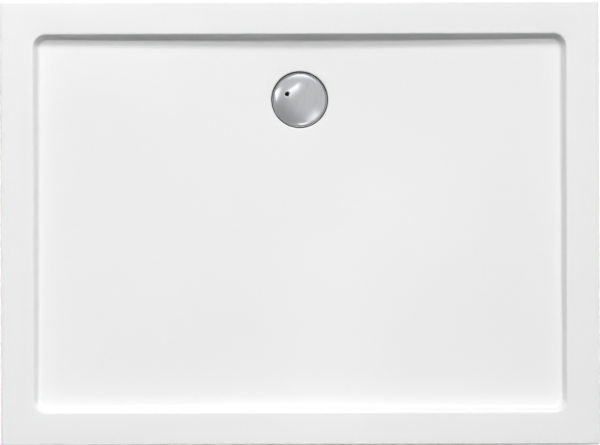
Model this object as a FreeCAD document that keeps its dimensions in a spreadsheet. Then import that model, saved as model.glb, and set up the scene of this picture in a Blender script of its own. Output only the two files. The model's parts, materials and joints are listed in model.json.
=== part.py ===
"""Acrylic shower tray on five screw feet, with its waste and bottle trap.

X runs along the tray, +Y towards the edge beside the waste, +Z up.
The origin is the centre of the outline, on the floor that the feet stand on.
"""

import FreeCAD, Part
import math
import os
import re
import Sketcher

# Driving dimensions in millimetres; slopes are rises over runs.
SIZES = {
    # acrylic shell
    "tray_length": 1200,
    "tray_width": 890,
    "rim_top": 150,
    "skirt_drop": 50,
    "acrylic": 4,
    "rim_width": 66,
    "corner_round": 6,
    "edge_round": 4.5,
    "opening_round": 26,
    "lip_round": 4,
    "wall_slope": 0.35,
    "cove_leg": 5,
    "basin_depth": 35,
    "floor_fall": 0.0175,
    "drain_back": 197,
    # recess that the waste sits in
    "recess_radius": 57,
    "recess_depth": 10,
    "recess_bevel": 3,
    "land_width": 10,
    "seat_width": 12,
    # resin backing and board
    "bond_gap": 0.3,
    "resin_skin": 3,
    "resin_bed": 4.7,
    "resin_inset": 6,
    "resin_clearance": 7,
    "board_thick": 16,
    "board_margin": 30,
    "board_round": 30,
    "board_hole": 78,
    # feet
    "leg_inset": 66,
    "middle_leg_back": 60,
    "bracket_drop": 42,
    "bracket_width": 40,
    "bracket_sheet": 2.5,
    "bracket_crown": 46,
    "bracket_splay": 5,
    "bracket_flange": 22,
    "weld_nut_height": 10,
    "nut_flats": 19,
    "lock_nut_height": 7,
    "rod_radius": 6,
    "thread_gap": 0.1,
    "rod_below_board": 8,
    "collar_height": 8,
    "collar_lift": 0.5,
    "foot_flats": 50,
    "foot_sides": 8,
    "foot_base": 6,
    "foot_boss_height": 22,
    "foot_bevel": 2,
    "foot_boss_flats": 26,
    "foot_boss_bevel": 3,
    "foot_socket_gap": 0.3,
    # waste flange and the gasket below the shell
    "under_gasket": 3,
    "gasket_inset": 1,
    "flange_gap": 2.5,
    "flange_plate": 2.5,
    "sleeve_gap": 1.5,
    "sleeve_wall": 3,
    "sleeve_drop": 21,
    "ledge_height": 6,
    "ledge_width": 3.5,
    # bottle trap
    "neck_gap": 0.3,
    "neck_drop": 16,
    "cup_inset": 3,
    "cup_wall": 3,
    "cup_bottom": 28,
    "well_radius": 33.5,
    "well_wall": 2.5,
    "weir_height": 72,
    "stub_height": 52,
    "stub_radius": 25.5,
    "stub_wall": 4.5,
    "stub_reach": 75,
    # outlet
    "pipe_radius": 20,
    "pipe_wall": 1.8,
    "pipe_root": 21,
    "pipe_collar": 3,
    "pipe_reach": 150,
    "pipe_gap": 0.3,
    "seal_thick": 2,
    "union_wall": 4.2,
    "union_cover": 13,
    "union_cap": 3.7,
    "union_sides": 12,
    # dip tube and strainer
    "seat_gap": 0.2,
    "collar_gap": 0.4,
    "dip_collar": 6,
    "dip_radius": 24.5,
    "dip_wall": 2.5,
    "dip_clearance": 7,
    "strainer_plate": 2,
    "strainer_knob": 6,
    "strainer_knob_height": 9,
    "slot_count": 12,
    "slot_inner": 12,
    "slot_margin": 6.1,
    "slot_width": 5,
    # waste cover
    "cover_gap": 2,
    "cover_rise": 3.5,
    "cover_sheet": 1.8,
    "cover_shoulder": 6,
    "cover_shoulder_drop": 1.2,
    "cover_roll": 1.5,
    "cover_roll_drop": 2.6,
    "cover_edge": 2.4,
    "cover_leg_inset": 7,
    "cover_leg_length": 14,
    "cover_leg_thick": 3,
    "cover_hole": 4.2,
    "cover_hole_along": 25.5,
    "cover_hole_back": 11.5,
}

# Levels and places worked out from the driving dimensions.
RIM_BASE = "(rim_top - skirt_drop)"
LAND = "(rim_top - basin_depth)"
SEAT = f"({LAND} - recess_depth)"
SHELL_UNDER = f"({SEAT} - acrylic)"
LAND_RADIUS = "(recess_radius + recess_bevel + land_width)"
WASTE_HOLE = "(recess_radius - seat_width)"
SLEEVE_RADIUS = f"({WASTE_HOLE} - sleeve_gap)"
SLEEVE_BORE = f"({SLEEVE_RADIUS} - sleeve_wall)"
LEDGE_BORE = f"({SLEEVE_BORE} - ledge_width)"
DIP_COLLAR = f"({SLEEVE_BORE} - collar_gap)"
BASIN_FOOT = f"({SHELL_UNDER} - 1)"
DRAIN_Y = "(tray_width / 2 - drain_back)"
RESIN_TOP = "(rim_top - acrylic - bond_gap)"
BOARD_TOP = f"({LAND} - acrylic - bond_gap - resin_bed)"
BOARD_UNDER = f"({BOARD_TOP} - board_thick)"
BOARD_LENGTH = "(tray_length - 2 * rim_width - 2 * board_margin)"
BOARD_WIDTH = "(tray_width - 2 * rim_width - 2 * board_margin)"
CROWN = f"({BOARD_UNDER} - bracket_drop)"
COLLAR = "(foot_boss_height + collar_lift)"
FLANGE_TOP = f"({SEAT} + flange_plate)"
SLEEVE_FOOT = f"({SHELL_UNDER} - sleeve_drop)"
LEDGE = f"({SLEEVE_FOOT} + ledge_height)"
TRAP_TOP = f"({SHELL_UNDER} - under_gasket)"
DIP_LOW = f"({LEDGE} + seat_gap)"
DIP_TOP = f"({DIP_LOW} + dip_collar)"
STRAINER_LOW = f"({DIP_TOP} + seat_gap)"
COVER_TOP = f"({LAND} + cover_rise)"
COVER_RADIUS = "(recess_radius - cover_gap)"
FLANGE_RADIUS = "(recess_radius - flange_gap)"
CUP_RADIUS = "(recess_radius - cup_inset)"

CORNER_LEG_X = f"({BOARD_LENGTH} / 2 - leg_inset)"
CORNER_LEG_Y = f"({BOARD_WIDTH} / 2 - leg_inset)"
LEGS = {
    "front_left": (f"-{CORNER_LEG_X}", f"-{CORNER_LEG_Y}"),
    "front_right": (CORNER_LEG_X, f"-{CORNER_LEG_Y}"),
    "back_left": (f"-{CORNER_LEG_X}", CORNER_LEG_Y),
    "back_right": (CORNER_LEG_X, CORNER_LEG_Y),
    "middle": ("0", "-middle_leg_back"),
}

LEFT, RIGHT = 1, -1

doc = FreeCAD.newDocument("shower_tray")
sheet = doc.addObject("Spreadsheet::Sheet", "Sizes")
for row, (alias, value) in enumerate(SIZES.items(), start=1):
    sheet.set(f"A{row}", alias)
    sheet.set(f"B{row}", str(value))
    sheet.setAlias(f"B{row}", alias)
doc.recompute()

nodes = []


def bound(expression):
    """The expression with every size name pointing at the sheet."""
    return re.sub(r"[a-z_]+", lambda word: f"Sizes.{word[0]}" if word[0] in SIZES else word[0], expression)


def size(expression):
    """The expression's value in millimetres."""
    return float(sheet.evalExpression(expression))


def place(thing, along, across, up):
    """Binds a sub-part's place to three expressions."""
    for axis, expression in zip("xyz", (along, across, up)):
        thing.setExpression(f"Placement.Base.{axis}", bound(expression))


def new_body(name, along="0", across="0", up="0"):
    """An empty body whose label is its name."""
    body = doc.addObject("PartDesign::Body", name)
    body.Label = name
    place(body, along, across, up)
    return body


def new_node(name, along="0", across="0", up="0"):
    """An empty body that is written out under its name."""
    body = new_body(name, along, across, up)
    nodes.append(body)
    return body


def new_sketch(body, plane, lift="0", along="0"):
    """An empty sketch on one of the body's own planes, lifted along its normal and shifted along it."""
    sketch = body.newObject("Sketcher::SketchObject", f"{body.Name}_sketch")
    plane_feature = next(feature for feature in body.Origin.OriginFeatures if feature.Role == plane)
    sketch.AttachmentSupport = [(plane_feature, "")]
    sketch.MapMode = "FlatFace"
    sketch.setExpression("AttachmentOffset.Base.z", bound(lift))
    sketch.setExpression("AttachmentOffset.Base.x", bound(along))
    return sketch


def constrain(sketch, kind, *targets, to):
    """Adds a sketch dimension and binds it to an expression."""
    index = sketch.addConstraint(Sketcher.Constraint(kind, *targets, size(to)))
    sketch.setExpression(f"Constraints[{index}]", bound(to))


def arc_between(start, end, radius, side):
    """The short arc from start to end, its centre to the left or right of the way along it."""
    chord = end - start
    reach = math.sqrt(max(radius**2 - (chord.Length / 2) ** 2, 0))
    normal = FreeCAD.Vector(-chord.y, chord.x, 0).normalize()
    centre = start + chord / 2 + normal * (side * reach)
    first, last = (start, end) if side == LEFT else (end, start)
    angles = [math.atan2(point.y - centre.y, point.x - centre.x) for point in (first, last)]
    circle = Part.Circle(centre, FreeCAD.Vector(0, 0, 1), radius)
    return Part.ArcOfCircle(circle, *angles)


def outline(sketch, corners):
    """A closed outline through corners given as expressions for both coordinates.

    A corner with a radius and a side as well is reached by an arc.
    """
    points = [FreeCAD.Vector(size(corner[0]), size(corner[1]), 0) for corner in corners]
    ends = []
    for index, start in enumerate(points):
        following = (index + 1) % len(points)
        end, corner = points[following], corners[following]
        if len(corner) == 2:
            edge = sketch.addGeometry(Part.LineSegment(start, end))
            ends.append((edge, 1, 2))
        else:
            radius, side = corner[2:]
            edge = sketch.addGeometry(arc_between(start, end, size(radius), side))
            constrain(sketch, "Radius", edge, to=radius)
            ends.append((edge, 1, 2) if side == LEFT else (edge, 2, 1))
    for index, (edge, first, last) in enumerate(ends):
        next_edge, next_first, _ = ends[(index + 1) % len(ends)]
        sketch.addConstraint(Sketcher.Constraint("Coincident", edge, last, next_edge, next_first))
        constrain(sketch, "DistanceX", edge, first, to=corners[index][0])
        constrain(sketch, "DistanceY", edge, first, to=corners[index][1])


def rectangle(sketch, length, width, radius):
    """A centred rectangle with rounded corners."""
    x, y, r = f"(({length}) / 2)", f"(({width}) / 2)", f"({radius})"
    outline(sketch, [
        (f"{r} - {x}", f"-{y}", r, LEFT),
        (f"{x} - {r}", f"-{y}"),
        (x, f"{r} - {y}", r, LEFT),
        (x, f"{y} - {r}"),
        (f"{x} - {r}", y, r, LEFT),
        (f"{r} - {x}", y),
        (f"-{x}", f"{y} - {r}", r, LEFT),
        (f"-{x}", f"{r} - {y}"),
    ])


def disc(sketch, radius, along="0", across="0"):
    """A circle round the given point."""
    centre = FreeCAD.Vector(size(along), size(across), 0)
    edge = sketch.addGeometry(Part.Circle(centre, FreeCAD.Vector(0, 0, 1), size(radius)))
    constrain(sketch, "Radius", edge, to=radius)
    constrain(sketch, "DistanceX", edge, 3, to=along)
    constrain(sketch, "DistanceY", edge, 3, to=across)


def polygon(sketch, flats, sides=6):
    """A centred regular polygon of the given width across its flats."""
    corner = f"({flats} / 2 / cos(180 / {sides}))"
    turns = [f"{360 * (step + 0.5) / sides:.9g}" for step in range(sides)]
    outline(sketch, [(f"{corner} * cos({turn})", f"{corner} * sin({turn})") for turn in turns])


def add_feature(body, kind, sketch):
    """A feature made from a sketch, named after both."""
    feature = body.newObject(f"PartDesign::{kind}", f"{body.Name}_{kind.lower()}")
    feature.Profile = sketch
    return feature


def pad(body, sketch, length, midplane=False):
    """Raises a sketch along its normal."""
    feature = add_feature(body, "Pad", sketch)
    feature.setExpression("Length", bound(length))
    feature.SideType = "Symmetric" if midplane else "One side"
    doc.recompute()
    return feature


def checked_cut(body, feature):
    """Recomputes a cut and stops if it took nothing away."""
    doc.recompute()
    if not feature.Shape.Volume < feature.BaseFeature.Shape.Volume - 1e-6:
        raise RuntimeError(f"{feature.Name} in {body.Label} cuts nothing")
    return feature


def pocket(body, sketch, length, upwards=False, midplane=False):
    """Cuts a sketch out against its normal, or along it."""
    feature = add_feature(body, "Pocket", sketch)
    feature.setExpression("Length", bound(length))
    feature.Reversed = upwards
    feature.SideType = "Symmetric" if midplane else "One side"
    return checked_cut(body, feature)


def turn(body, sketch, axis="V_Axis"):
    """Revolves a sketch about one of its axes."""
    feature = add_feature(body, "Revolution", sketch)
    feature.ReferenceAxis = (sketch, [axis])
    feature.Angle = 360
    doc.recompute()
    return feature


def turn_out(body, sketch, axis="V_Axis"):
    """Cuts away what a sketch sweeps about one of its axes."""
    feature = add_feature(body, "Groove", sketch)
    feature.ReferenceAxis = (sketch, [axis])
    feature.Angle = 360
    return checked_cut(body, feature)


def edge_feature(body, kind, edges, measure, value):
    """A fillet or chamfer on the given edges of the body's last feature."""
    base = body.Tip
    names = [
        f"Edge{number}"
        for number, candidate in enumerate(base.Shape.Edges, start=1)
        if any(candidate.isSame(edge) for edge in edges)
    ]
    feature = body.newObject(f"PartDesign::{kind}", f"{body.Name}_{kind.lower()}")
    feature.Base = (base, names)
    feature.setExpression(measure, bound(value))
    doc.recompute()
    return feature


def round_off(body, edges, radius):
    """Rounds the given edges of the body's last feature."""
    return edge_feature(body, "Fillet", edges, "Radius", radius)


def bevel(body, edges, leg):
    """Bevels the given edges of the body's last feature."""
    return edge_feature(body, "Chamfer", edges, "Size", leg)


def repeat(body, feature, sketch, count):
    """Repeats a feature evenly round its sketch's normal."""
    pattern = body.newObject("PartDesign::PolarPattern", f"{body.Name}_pattern")
    pattern.Originals = [feature]
    pattern.Axis = (sketch, ["N_Axis"])
    pattern.Angle = 360
    pattern.setExpression("Occurrences", bound(count))
    body.Tip = pattern
    doc.recompute()
    return pattern


def combine(body, kind, tools):
    """Fuses other bodies to this one, or cuts them out of it."""
    feature = body.newObject("PartDesign::Boolean", f"{body.Name}_{kind.lower()}")
    feature.Type = kind
    feature.setObjects(tools)
    doc.recompute()
    return feature


def ring(low_x, high_x, low_y, high_y):
    """Corners of a rectangular section between two pairs of expressions."""
    return [(low_x, low_y), (high_x, low_y), (high_x, high_y), (low_x, high_y)]


def edges_at_level(shape, level):
    """Edges that lie flat at the given height."""
    height = size(level)
    return [
        edge for edge in shape.Edges
        if abs(edge.BoundBox.ZMin - height) < 1e-3 and abs(edge.BoundBox.ZMax - height) < 1e-3
    ]


# ---------------------------------------------------------------- acrylic shell


def basin_walls(name, thickness, top, foot):
    """A block with the basin's sloping sides, set outwards by a thickness."""
    body = new_body(name)
    rims = []
    for level in (top, foot):
        spread = f"(({thickness}) * sqrt(1 + wall_slope ^ 2) - wall_slope * (rim_top - {level}))"
        rim = new_sketch(body, "XY_Plane", level)
        rectangle(
            rim,
            f"tray_length - 2 * rim_width + 2 * {spread}",
            f"tray_width - 2 * rim_width + 2 * {spread}",
            f"opening_round + {spread}",
        )
        rims.append(rim)
    walls = body.newObject("PartDesign::AdditiveLoft", f"{name}_walls")
    walls.Profile, walls.Sections, walls.Ruled = rims[0], [rims[1]], True
    doc.recompute()
    return body


def basin(name, thickness, top, bore, recess_corner):
    """The basin's space as a solid, set outwards by a thickness.

    Its floor is a shallow cone that falls to a flat land round the waste recess.
    Returns the body and its floor face.
    """
    body = basin_walls(name, thickness, top, BASIN_FOOT)
    land, seat = f"({LAND} - ({thickness}))", f"({SEAT} - ({thickness}))"
    far_rise = f"floor_fall * (tray_length - {LAND_RADIUS})"
    fall = new_sketch(body, "YZ_Plane", along=DRAIN_Y)
    outline(fall, [
        (bore, f"{BASIN_FOOT} - 1"),
        (bore, seat),
        (f"recess_radius + ({thickness})", seat),
        *recess_corner,
        (LAND_RADIUS, land),
        ("tray_length", f"{land} + {far_rise}"),
        ("tray_length", f"{BASIN_FOOT} - 1"),
    ])
    turn_out(body, fall)
    cone = max(
        (face for face in body.Tip.Shape.Faces if isinstance(face.Surface, Part.Cone)),
        key=lambda face: face.Area,
    )
    return body, cone


def make_tray_shell():
    """Rim, skirt and basin of one acrylic sheet, with the waste recess in its floor."""
    shell = new_node("tray_shell")
    block = new_sketch(shell, "XY_Plane", RIM_BASE)
    rectangle(block, "tray_length", "tray_width", "corner_round")
    pad(shell, block, "skirt_drop")
    round_off(shell, edges_at_level(shell.Tip.Shape, "rim_top"), "edge_round")
    hollow = new_sketch(shell, "XY_Plane", RIM_BASE)
    rectangle(
        hollow,
        "tray_length - 2 * acrylic",
        "tray_width - 2 * acrylic",
        "max(corner_round - acrylic; 0.5)",
    )
    pocket(shell, hollow, "skirt_drop - acrylic", upwards=True)
    outer, _ = basin("basin_outside", "acrylic", "(rim_top - acrylic / 2)", "0", [
        ("recess_radius + acrylic", f"{LAND} - acrylic"),
    ])
    combine(shell, "Fuse", [outer])
    inner, floor = basin("basin_space", "0", "(rim_top + 1)", WASTE_HOLE, [
        ("recess_radius", f"{LAND} - recess_bevel"),
        ("recess_radius + recess_bevel", LAND),
    ])
    bevel(inner, floor.OuterWire.Edges, "cove_leg")
    combine(shell, "Cut", [inner])
    opening_edges = [
        edge for edge in edges_at_level(shell.Tip.Shape, "rim_top")
        if max(edge.BoundBox.XMax, -edge.BoundBox.XMin) < size("tray_length / 2 - rim_width") + 1
        and max(edge.BoundBox.YMax, -edge.BoundBox.YMin) < size("tray_width / 2 - rim_width") + 1
    ]
    round_off(shell, opening_edges, "lip_round")


def make_resin_backing():
    """Resin skin under the rim and walls, poured level under the floor for the board."""
    backing = new_node("resin_backing")
    ledge = new_sketch(backing, "XY_Plane", f"({RESIN_TOP} - resin_skin)")
    rectangle(
        ledge,
        "tray_length - 2 * acrylic - 2 * resin_inset",
        "tray_width - 2 * acrylic - 2 * resin_inset",
        "corner_round",
    )
    pad(backing, ledge, "resin_skin")
    ledge_middle = f"({RESIN_TOP} - resin_skin / 2)"
    walls = basin_walls("resin_walls", "acrylic + bond_gap + resin_skin", ledge_middle, BOARD_TOP)
    combine(backing, "Fuse", [walls])
    acrylic_space, _ = basin("resin_space", "acrylic + bond_gap", "(rim_top + 1)", "0", [
        ("recess_radius + acrylic + bond_gap", f"{LAND} - acrylic - bond_gap"),
    ])
    combine(backing, "Cut", [acrylic_space])
    clearance = new_sketch(backing, "XY_Plane", BOARD_TOP)
    disc(clearance, "recess_radius + acrylic + resin_clearance", "0", DRAIN_Y)
    pocket(backing, clearance, "basin_depth", upwards=True)


def make_support_board():
    """Board bonded under the floor, cut out round the waste."""
    board = new_node("support_board")
    plan = new_sketch(board, "XY_Plane", BOARD_UNDER)
    rectangle(plan, BOARD_LENGTH, BOARD_WIDTH, "board_round")
    pad(board, plan, "board_thick")
    cutout = new_sketch(board, "XY_Plane", BOARD_UNDER)
    disc(cutout, "board_hole", "0", DRAIN_Y)
    pocket(board, cutout, "board_thick", upwards=True)


# ---------------------------------------------------------------- feet


def make_bracket(name, along, across):
    """Hat-section bracket with a nut welded inside its crown."""
    bracket = new_body(name, along, across)
    half_crown = "(bracket_crown / 2)"
    half_mouth = f"({half_crown} + bracket_splay)"
    tip = f"({half_mouth} + bracket_flange)"
    flange = f"({BOARD_UNDER} - bracket_sheet)"
    right_side = [
        (f"{half_crown} - bracket_sheet", f"{CROWN} + bracket_sheet"),
        (f"{half_mouth} - bracket_sheet", BOARD_UNDER),
        (tip, BOARD_UNDER),
        (tip, flange),
        (half_mouth, flange),
        (half_crown, CROWN),
    ]
    left_side = [(f"-({x})", z) for x, z in reversed(right_side)]
    hat = new_sketch(bracket, "XZ_Plane")
    outline(hat, right_side + left_side)
    pad(bracket, hat, "bracket_width", midplane=True)
    nut = new_sketch(bracket, "XY_Plane", f"({CROWN} + bracket_sheet)")
    polygon(nut, "nut_flats")
    pad(bracket, nut, "weld_nut_height")
    bore = new_sketch(bracket, "XY_Plane", CROWN)
    disc(bore, "rod_radius + thread_gap")
    pocket(bracket, bore, "bracket_sheet + weld_nut_height", upwards=True)
    return bracket


def make_rod(name, along, across):
    """Threaded rod with the hexagon that a spanner turns."""
    rod = new_node(name, along, across)
    low = "(foot_base + foot_socket_gap)"
    top = f"({BOARD_UNDER} - rod_below_board)"
    profile = new_sketch(rod, "XZ_Plane")
    outline(profile, [
        ("0", low),
        ("rod_radius", low),
        ("rod_radius", top),
        ("0", top),
    ])
    turn(rod, profile)
    collar = new_sketch(rod, "XY_Plane", COLLAR)
    polygon(collar, "nut_flats")
    pad(rod, collar, "collar_height")


def make_pad(name, along, across):
    """Many-sided plastic foot with a bevelled boss that holds the rod's end."""
    foot = new_node(name, along, across)
    sides = SIZES["foot_sides"]
    for flats, height, leg in (
        ("foot_flats", "foot_base", "foot_bevel"),
        ("foot_boss_flats", "foot_boss_height", "foot_boss_bevel"),
    ):
        prism = new_sketch(foot, "XY_Plane")
        polygon(prism, flats, sides)
        pad(foot, prism, height)
        bevel(foot, edges_at_level(foot.Tip.Shape, height), leg)
    socket = new_sketch(foot, "XY_Plane", "foot_boss_height")
    disc(socket, "rod_radius + foot_socket_gap")
    pocket(foot, socket, "foot_boss_height - foot_base")


def make_lock_nut(name, along, across):
    """Thin nut that locks a rod against the bracket's crown."""
    nut = new_body(name, along, across)
    plan = new_sketch(nut, "XY_Plane", f"({CROWN} - lock_nut_height)")
    polygon(plan, "nut_flats")
    pad(nut, plan, "lock_nut_height")
    bore = new_sketch(nut, "XY_Plane", f"({CROWN} - lock_nut_height)")
    disc(bore, "rod_radius + thread_gap")
    pocket(nut, bore, "lock_nut_height", upwards=True)
    return nut


def group(name, members):
    """One node that holds several separate solids."""
    compound = doc.addObject("Part::Compound", name)
    compound.Label = name
    compound.Links = members
    nodes.append(compound)


def make_feet():
    """A bracket, rod, foot and lock nut at every leg."""
    brackets, lock_nuts = [], []
    for leg, (along, across) in LEGS.items():
        brackets.append(make_bracket(f"bracket_{leg}", along, across))
        make_rod(f"foot_rod_{leg}", along, across)
        make_pad(f"foot_pad_{leg}", along, across)
        lock_nuts.append(make_lock_nut(f"lock_nut_{leg}", along, across))
    group("leg_brackets", brackets)
    group("lock_nuts", lock_nuts)


# ---------------------------------------------------------------- waste and trap


def turned_node(name, corners):
    """A node revolved about the waste's upright axis."""
    node = new_node(name, "0", DRAIN_Y)
    profile = new_sketch(node, "XZ_Plane")
    outline(profile, corners)
    turn(node, profile)
    return node


def make_waste_flange():
    """Flange that clamps the shell, with the sleeve that screws into the trap."""
    turned_node("waste_flange", [
        (LEDGE_BORE, SLEEVE_FOOT),
        (SLEEVE_RADIUS, SLEEVE_FOOT),
        (SLEEVE_RADIUS, SEAT),
        (FLANGE_RADIUS, SEAT),
        (FLANGE_RADIUS, FLANGE_TOP),
        (SLEEVE_BORE, FLANGE_TOP),
        (SLEEVE_BORE, LEDGE),
        (LEDGE_BORE, LEDGE),
    ])
    seal = ring(f"{WASTE_HOLE} + gasket_inset", f"{CUP_RADIUS} - gasket_inset", TRAP_TOP, SHELL_UNDER)
    turned_node("body_gasket", seal)


def make_trap_body():
    """Trap cup with an inner well whose edge is the weir, and a side outlet."""
    neck = f"({SLEEVE_RADIUS} + neck_gap)"
    neck_foot = f"({TRAP_TOP} - neck_drop)"
    cup, floor = f"({CUP_RADIUS} - cup_wall)", "(cup_bottom + cup_wall)"
    well = "(well_radius - well_wall)"
    trap = new_node("trap_body", "0", DRAIN_Y)
    outside = new_sketch(trap, "XZ_Plane")
    outline(outside, ring("0", CUP_RADIUS, "cup_bottom", TRAP_TOP))
    turn(trap, outside)
    stub = new_sketch(trap, "XZ_Plane", "-well_radius")
    disc(stub, "stub_radius", "0", "stub_height")
    raised = pad(trap, stub, "stub_reach - well_radius")
    raised.Reversed = True
    doc.recompute()
    inside = new_sketch(trap, "XZ_Plane")
    outline(inside, [
        ("0", floor),
        (well, floor),
        (well, "weir_height"),
        ("well_radius", "weir_height"),
        ("well_radius", floor),
        (cup, floor),
        (cup, neck_foot),
        (neck, neck_foot),
        (neck, TRAP_TOP),
        ("0", TRAP_TOP),
    ])
    turn_out(trap, inside)
    bore = new_sketch(trap, "XZ_Plane", "-stub_reach")
    disc(bore, "stub_radius - stub_wall", "0", "stub_height")
    pocket(trap, bore, f"stub_reach - (well_radius + {cup}) / 2", upwards=True)


def make_outlet():
    """Outlet pipe whose collar the union nut draws up to the trap's stub."""
    collar_foot = "(stub_reach + seal_thick)"
    collar_end = f"({collar_foot} + pipe_collar)"
    nut_end = f"({collar_end} + pipe_gap + union_cap)"
    nut_length = f"({nut_end} - stub_reach + union_cover)"
    nut_bore = "(stub_radius + pipe_gap)"
    pipe_bore = "(pipe_radius - pipe_wall)"
    pipe = new_node("outlet_pipe", "0", DRAIN_Y, "stub_height")
    profile = new_sketch(pipe, "YZ_Plane")
    outline(profile, [
        (collar_foot, pipe_bore),
        ("pipe_reach", pipe_bore),
        ("pipe_reach", "pipe_radius"),
        (nut_end, "pipe_radius"),
        (nut_end, "pipe_root"),
        (collar_end, "pipe_root"),
        (collar_end, "stub_radius"),
        (collar_foot, "stub_radius"),
    ])
    turn(pipe, profile, "H_Axis")
    nut = new_node("union_nut", "0", DRAIN_Y, "stub_height")
    end = new_sketch(nut, "XZ_Plane", f"-{nut_end}")
    polygon(end, f"(2 * ({nut_bore} + union_wall))", SIZES["union_sides"])
    pad(nut, end, nut_length)
    hole = new_sketch(nut, "XZ_Plane", f"-{nut_end}")
    disc(hole, "pipe_root + pipe_gap")
    pocket(nut, hole, nut_length, upwards=True)
    thread = new_sketch(nut, "XZ_Plane", f"-({collar_end} + pipe_gap)")
    disc(thread, nut_bore)
    pocket(nut, thread, f"{nut_length} - union_cap", upwards=True)


def make_dip_tube():
    """Removable tube whose end dips into the trap's well, hung by its collar."""
    bore = "(dip_radius - dip_wall)"
    foot = "(cup_bottom + cup_wall + dip_clearance)"
    turned_node("dip_tube", [
        (bore, foot),
        ("dip_radius", foot),
        ("dip_radius", DIP_LOW),
        (DIP_COLLAR, DIP_LOW),
        (DIP_COLLAR, DIP_TOP),
        (bore, DIP_TOP),
    ])


def make_strainer():
    """Slotted hair strainer with a knob, resting on the dip tube."""
    plate_top = f"({STRAINER_LOW} + strainer_plate)"
    strainer = turned_node("strainer", [
        ("0", STRAINER_LOW),
        (DIP_COLLAR, STRAINER_LOW),
        (DIP_COLLAR, plate_top),
        ("strainer_knob", plate_top),
        ("strainer_knob", f"{plate_top} + strainer_knob_height"),
        ("0", f"{plate_top} + strainer_knob_height"),
    ])
    slot_outer = f"({DIP_COLLAR} - slot_margin)"
    slot = new_sketch(strainer, "XY_Plane", STRAINER_LOW)
    outline(slot, [
        ("slot_inner", "-slot_width / 4"),
        (slot_outer, "-slot_width / 2"),
        (slot_outer, "slot_width / 2"),
        ("slot_inner", "slot_width / 4"),
    ])
    cut = pocket(strainer, slot, "strainer_plate", upwards=True)
    repeat(strainer, cut, slot, "slot_count")


def make_waste_cover():
    """Cover cap with a bevelled shoulder, a turned-down edge, four legs and a lifting hole."""
    ceiling = f"({COVER_TOP} - cover_sheet)"
    shoulder = f"({COVER_TOP} - cover_shoulder_drop)"
    edge = f"({shoulder} - cover_roll_drop)"
    hem = f"({edge} - cover_edge)"
    inner = f"({COVER_RADIUS} - cover_sheet)"
    cover = turned_node("waste_cover", [
        ("0", ceiling),
        ("0", COVER_TOP),
        (f"{COVER_RADIUS} - cover_roll - cover_shoulder", COVER_TOP),
        (f"{COVER_RADIUS} - cover_roll", shoulder),
        (COVER_RADIUS, edge),
        (COVER_RADIUS, hem),
        (inner, hem),
        (inner, f"{edge} - cover_sheet / 4"),
        (f"{inner} - cover_roll - cover_shoulder", ceiling),
    ])
    circle = f"({COVER_RADIUS} - cover_leg_inset)"
    foot = f"({FLANGE_TOP} + seat_gap)"
    for x, y, wide, deep in (
        (circle, "0", "cover_leg_thick", "cover_leg_length"),
        (f"-{circle}", "0", "cover_leg_thick", "cover_leg_length"),
        ("0", circle, "cover_leg_length", "cover_leg_thick"),
        ("0", f"-{circle}", "cover_leg_length", "cover_leg_thick"),
    ):
        leg = new_sketch(cover, "XY_Plane", foot)
        sides = (f"{middle} {sign} {across} / 2" for middle, across in ((x, wide), (y, deep)) for sign in "-+")
        outline(leg, ring(*sides))
        pad(cover, leg, f"{ceiling} + cover_sheet / 2 - {foot}")
    hole = new_sketch(cover, "XY_Plane", COVER_TOP)
    disc(hole, "cover_hole", "-cover_hole_along", "cover_hole_back")
    pocket(cover, hole, "cover_sheet * 2")


def check_and_write():
    """Stops at any failed object or bad shape, then writes one file for each node."""
    doc.recompute()
    failed = [thing.Name for thing in doc.Objects if {"Invalid", "Error"} & set(thing.State)]
    if failed:
        raise RuntimeError(f"failed objects: {failed}")
    for node in nodes:
        if node.Shape.isNull() or not node.Shape.isValid():
            raise RuntimeError(f"bad shape: {node.Label}")
    os.makedirs("parts", exist_ok=True)
    for node in nodes:
        node.Shape.exportStep(f"parts/{node.Label}.step")
        print(f"{node.Label}: {len(node.Shape.Solids)} solids, {node.Shape.Volume / 1000:.1f} cm3")


make_tray_shell()
make_resin_backing()
make_support_board()
make_feet()
make_waste_flange()
make_trap_body()
make_outlet()
make_dip_tube()
make_strainer()
make_waste_cover()
check_and_write()
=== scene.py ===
"""Looks of an acrylic shower tray on five screw feet, with its waste, seen from straight above.

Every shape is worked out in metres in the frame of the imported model: X along the tray, Y towards
the waste, Z up. Sizes that the frame gives are read from it, and the others are fields of the class
of the sub-assembly that they belong to.
"""

import json
import logging
import math
from dataclasses import dataclass, field
from enum import Enum
from typing import Any, ClassVar, Iterable, Sequence

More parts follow.
